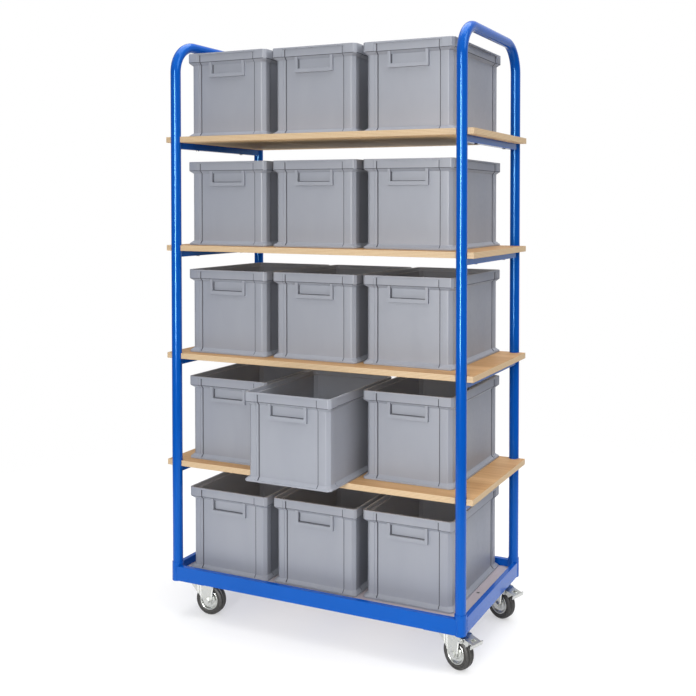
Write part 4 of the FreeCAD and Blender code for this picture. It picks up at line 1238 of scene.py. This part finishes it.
@dataclass
class Casters:
    """Four swivel casters: plates and bolts on the frame, then fork, axle, wheel, tyre and brake at each corner.

    Heights on a bolt are measured from the outer face of its head, and chamfered is the share of a hexagon that
    its chamfers leave. Each swage runs between two points, in millimetres ahead of the kingpin and below the
    fork's crown.
    """

    plate_edge: float = 0.5 * MM
    fork_edge: float = 0.7 * MM
    bolt_head: float = 5.3 * MM
    bolt_nut: tuple[float, float] = (12.3 * MM, 18.8 * MM)
    bolt_radius: float = 4 * MM
    bolt_around: int = 20
    chamfer: float = 0.6 * MM
    chamfered: float = 0.9
    swage: float = 2.5 * MM
    swage_side: float = 23.5 * MM
    swage_runs: tuple[tuple[tuple[float, float], ...], ...] = (
        ((3.0, 4.0), (4.0, 34.0)),
        ((13.5, 4.0), (15.0, 48.0)),
        ((58.5, 14.0), (53.0, 50.0)),
    )
    tyre_width: float = 32 * MM
    tyre_radius: float = 50 * MM
    tyre_around: int = 120
    rim_radius: float = 33 * MM
    wheel_around: int = 96
    bore: float = 5.1 * MM
    seed: int = 3

    def joint(self, name: str) -> dict:
        """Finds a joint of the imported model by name."""
        return next(j for j in frame["joints"] if j["name"] == name)

    def wheel_section(self) -> Profile:
        """Section of the pressed wheel, with a rolled lip, a dished disc and a long hub."""
        half = [
            (self.bore, 20.4 * MM),
            (11.6 * MM, 20.4 * MM),
            (12.0 * MM, 11.5 * MM),
            (16.0 * MM, 10.2 * MM),
            (17.0 * MM, 8.2 * MM),
            (25.0 * MM, 8.2 * MM),
            (28.2 * MM, 12.2 * MM),
            (29.0 * MM, 14.6 * MM),
            (31.2 * MM, 15.4 * MM),
            (32.8 * MM, 14.4 * MM),
        ]
        return rounded(mirrored(half), 0.9 * MM, 3)

    def tyre_section(self) -> Profile:
        """Section of the solid tyre, with ring grooves on wall and tread."""
        wide, far, near = self.tyre_width / 2, self.tyre_radius, self.rim_radius
        half = [
            (near, wide - 1.2 * MM),
            (near + 2.5 * MM, wide),
            (near + 5.6 * MM, wide),
            (near + 6.2 * MM, wide - 1.6 * MM),
            (near + 8.2 * MM, wide - 1.6 * MM),
            (near + 8.8 * MM, wide),
            (far - 6.5 * MM, wide - 0.3 * MM),
            (far - 2.6 * MM, wide - 2.6 * MM),
            (far - 0.9 * MM, wide - 5.2 * MM),
            (far - 0.7 * MM, wide - 6.4 * MM),
            (far - 3.2 * MM, wide - 7.4 * MM),
            (far - 3.2 * MM, wide - 10.4 * MM),
            (far - 0.2 * MM, wide - 11.4 * MM),
            (far, wide - 13.5 * MM),
        ]
        return rounded(mirrored(half), 0.8 * MM, 2)

    def bolts(self) -> None:
        """Sets the hexagon bolts, with their nuts, that hold the plates."""
        boxes = islands("caster_bolts")
        low, high = boxes[0]
        corner = (high.y - low.y) / 2 / math.cos(math.pi / 6)
        shape = bmesh.new()
        for start, end in ((0.0, self.bolt_head), self.bolt_nut):
            outline = (
                (start, self.chamfered),
                (start + self.chamfer, 1.0),
                (end - self.chamfer, 1.0),
                (end, self.chamfered),
            )
            stack(shape, [ring(shape, corner * size, height, 6, math.pi / 6) for height, size in outline])
        ends = (self.bolt_head, high.z - low.z)
        stack(shape, [ring(shape, self.bolt_radius, height, self.bolt_around) for height in ends])
        bmesh.ops.recalc_face_normals(shape, faces=shape.faces)
        spots = [((lo.x + hi.x) / 2, (lo.y + hi.y) / 2, lo.z) for lo, hi in boxes]
        fasten("caster_bolts", as_object("bolt_pattern", shape), spots, 1.0, BRIGHT_ZINC, 0.0, self.seed)

    def swages(self, corner: Corner, place: Matrix) -> None:
        """Sets the stiffening swages pressed into both cheeks of a fork, in near-white zinc as a painted highlight.

        Args:
            corner: Corner of the caster.
            place: Where the caster stands, with its X along the trail.
        """
        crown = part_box(f"{corner.value}_fork")[1].z
        paths = [
            [tuple(place @ Vector((ahead * MM, side, crown - down * MM))) for ahead, down in run]
            for side in (-self.swage_side, self.swage_side)
            for run in self.swage_runs
        ]
        thing = path_object(f"{corner.value}_fork_swages", paths)
        # The swages are near-white zinc: a painted highlight along their ridges
        BENT_TUBE.run(thing, HIGHLIGHT_ZINC, Tube_Radius=self.swage)
        hand_over(thing, f"{corner.value}_caster", Slot.ZINC_STEEL)

    def caster(self, corner: Corner) -> None:
        """Sets the moving pieces of one caster.

        Args:
            corner: Corner of the caster.
        """
        name = corner.value
        zinc = (Slot.ZINC_STEEL, BRIGHT_ZINC)
        king = Vector(self.joint(f"{name}_swivel")["pos_m"])
        roll = self.joint(f"{name}_roll")
        hub, way = Vector(roll["pos_m"]), Vector(roll["axis"]).normalized()
        trail = Vector((hub.x - king.x, hub.y - king.y, 0.0)).normalized()
        turn = Matrix.Rotation(math.atan2(trail.y, trail.x), 4, "Z")
        spin = Matrix.Translation(hub) @ way.to_track_quat("Z", "Y").to_matrix().to_4x4()
        dress_node(f"{name}_fork", f"{name}_caster", *zinc, self.fork_edge)
        self.swages(corner, Matrix.Translation((king.x, king.y, 0.0)) @ turn)
        dress_node(f"{name}_axle", f"{name}_caster", *zinc, self.plate_edge)
        wheel = turned(f"{name}_wheel_disc", self.wheel_section(), spin, self.wheel_around)
        hand_over(wheel, f"{name}_roller", *zinc, [f"{name}_wheel"])
        tyre = turned(f"{name}_tyre_ring", self.tyre_section(), spin, self.tyre_around)
        hand_over(tyre, f"{name}_roller", Slot.TYRE_RUBBER, BLACK_RUBBER, [f"{name}_tyre"])
        if corner.braked:
            dress_node(f"{name}_pedal", f"{name}_brake", *zinc, self.plate_edge)
            dress_node(f"{name}_pedal_pin", f"{name}_caster", *zinc, self.plate_edge)

    def dress(self) -> None:
        """Sets the plates, kingpins and bolts, then every caster."""
        for node in ("caster_plates", "kingpins"):
            dress_node(node, "frame", Slot.ZINC_STEEL, BRIGHT_ZINC, self.plate_edge)
        self.bolts()
        for corner in Corner:
            self.caster(corner)


@dataclass
class Studio:
    """Pale floor, soft studio light and the camera.

    The camera's angles are in degrees, and its focal length, centre and image are in pixels of the picture.
    """

    azimuth: float = 22.71
    pitch: float = 1.48
    roll: float = 0.16
    eye: Point = (1.4886, -2.6204, 1.3425)
    focal: float = 918.69
    centre: tuple[float, float] = (457.6, 228.8)
    image: float = 696.0
    sensor: float = 36.0
    low_glow: float = 0.16
    high_glow: float = 0.9
    back_glow: float = 0.85
    floor_radius: float = 6.0
    floor_tone: str = "#C4C4C4"
    floor_glow: float = 0.45
    fade: tuple[float, float] = (1.3, 2.6)

    def camera(self) -> None:
        """Sets the camera where the picture was taken from."""
        lens = bpy.data.cameras.new("camera")
        lens.sensor_fit = "HORIZONTAL"
        lens.sensor_width = self.sensor
        lens.lens = self.focal * self.sensor / self.image
        lens.shift_x = (self.image / 2 - self.centre[0]) / self.image
        lens.shift_y = (self.centre[1] - self.image / 2) / self.image
        a, p, r = (math.radians(v) for v in (self.azimuth, self.pitch, self.roll))
        ahead = Vector((-math.sin(a) * math.cos(p), math.cos(a) * math.cos(p), -math.sin(p)))
        right = Vector((math.cos(a), math.sin(a), 0.0))
        up = right.cross(ahead)
        level = right * math.cos(r) + up * math.sin(r)
        upright = up * math.cos(r) - right * math.sin(r)
        turn = Matrix((level, upright, -ahead)).transposed()
        view = link(bpy.data.objects.new("camera", lens))
        view.matrix_world = Matrix.Translation(self.eye) @ turn.to_4x4()
        bpy.context.scene.camera = view

    def light(
        self, name: str, at: Point, aim: Point, size: tuple[float, float], power: float, gloss_only: bool = False
    ) -> None:
        """Sets one soft box.

        Args:
            name: Name of the light.
            at: Where it hangs.
            aim: Point that it faces.
            size: Width and height of its face.
            power: Power in watts.
            gloss_only: Whether it shows only as a shine, and lights no matt surface.
        """
        lamp = bpy.data.lights.new(name, "AREA")
        lamp.shape = "RECTANGLE"
        lamp.size, lamp.size_y = size
        lamp.energy = power
        box = link(bpy.data.objects.new(name, lamp))
        way = Vector(aim) - Vector(at)
        box.matrix_world = Matrix.Translation(at) @ way.to_track_quat("-Z", "Y").to_matrix().to_4x4()
        box.visible_diffuse = not gloss_only

    def floor(self) -> None:
        """Lays a pale floor that fades into the white backdrop."""
        shape = bmesh.new()
        bmesh.ops.create_circle(shape, cap_ends=True, segments=96, radius=self.floor_radius)
        ground = as_object("studio_floor", shape)
        made = bpy.data.materials.new("pale_floor")
        tree = blank_tree(made)
        place = add_node(tree, "ShaderNodeTexCoord")
        far = add_node(tree, "ShaderNodeVectorMath", links={0: place.outputs["Object"]}, operation="LENGTH")
        fade = add_node(
            tree,
            RANGE,
            {"From Min": self.fade[0], "From Max": self.fade[1]},
            {"Value": far.outputs["Value"]},
            interpolation_type="SMOOTHSTEP",
        )
        pale = add_node(
            tree,
            "ShaderNodeBsdfPrincipled",
            {
                "Base Color": linear(self.floor_tone),
                "Roughness": 0.8,
                "Specular IOR Level": 0.1,
                "Emission Color": linear("#FFFFFF"),
                "Emission Strength": self.floor_glow,
            },
        )
        clear = add_node(tree, "ShaderNodeBsdfTransparent")
        mix = add_node(
            tree,
            "ShaderNodeMixShader",
            links={0: fade.outputs["Result"], 1: pale.outputs["BSDF"], 2: clear.outputs["BSDF"]},
        )
        add_node(tree, "ShaderNodeOutputMaterial", links={"Surface": mix.outputs["Shader"]})
        ground.data.materials.append(made)

    def backdrop(self) -> None:
        """Gives the white surround, brightest above and behind, dimmer for what it lights than for the eye."""
        world = bpy.data.worlds.new("studio")
        tree = blank_tree(world)
        place = add_node(tree, "ShaderNodeTexCoord")
        way = add_node(tree, "ShaderNodeSeparateXYZ", links={"Vector": place.outputs["Generated"]})
        upward = {"From Min": 0.0, "From Max": 0.8, "To Min": self.low_glow, "To Max": self.high_glow}
        above = add_node(tree, RANGE, upward, {"Value": way.outputs["Z"]})
        backward = {"From Min": 0.6, "From Max": 0.9, "To Max": self.back_glow}
        behind = add_node(tree, RANGE, backward, {"Value": way.outputs["Y"]})
        both = {0: above.outputs["Result"], 1: behind.outputs["Result"]}
        lit = add_node(tree, MATH, links=both, operation="MAXIMUM")
        ray = add_node(tree, "ShaderNodeLightPath")
        shown = {"Value": ray.outputs["Is Camera Ray"], "To Min": lit.outputs["Value"]}
        strength = add_node(tree, RANGE, {"To Max": 1.0}, shown)
        white = {"Color": linear("#FFFFFF")}
        sky = add_node(tree, "ShaderNodeBackground", white, {"Strength": strength.outputs["Result"]})
        add_node(tree, "ShaderNodeOutputWorld", links={"Surface": sky.outputs["Background"]})
        bpy.context.scene.world = world

    def build(self) -> None:
        """Builds the whole studio."""
        self.camera()
        self.floor()
        self.backdrop()
        self.light("overhead_box", (0.0, 0.3, 4.6), (0.0, 0.0, 0.0), (4.0, 3.0), 110.0)
        self.light("front_box", (0.45, -3.7, 1.35), (0.0, 0.0, 0.9), (0.55, 2.0), 57.0)
        self.light("shine_strip", (0.45, -3.65, 1.35), (0.0, 0.0, 0.9), (0.9, 2.0), 190.0, gloss_only=True)
        self.light("high_front_box", (1.2, -2.3, 1.7), (0.0, 0.0, 0.8), (1.0, 0.8), 10.0)
        self.light("right_box", (3.2, -0.6, 3.7), (0.0, 0.0, 0.9), (2.0, 2.0), 50.0)
        settings = bpy.context.scene.view_settings
        settings.view_transform = "Standard"
        settings.look = "None"


def main() -> None:
    """Builds the trolley's pieces in order, then the studio."""
    logging.basicConfig(level=logging.INFO, format="%(message)s")
    for part in (Hoops(), Base(), Shelves(), Crates(), Casters()):
        log.info("%s", type(part).__name__)
        part.dress()
    Studio().build()


if __name__ == "__main__":
    main()
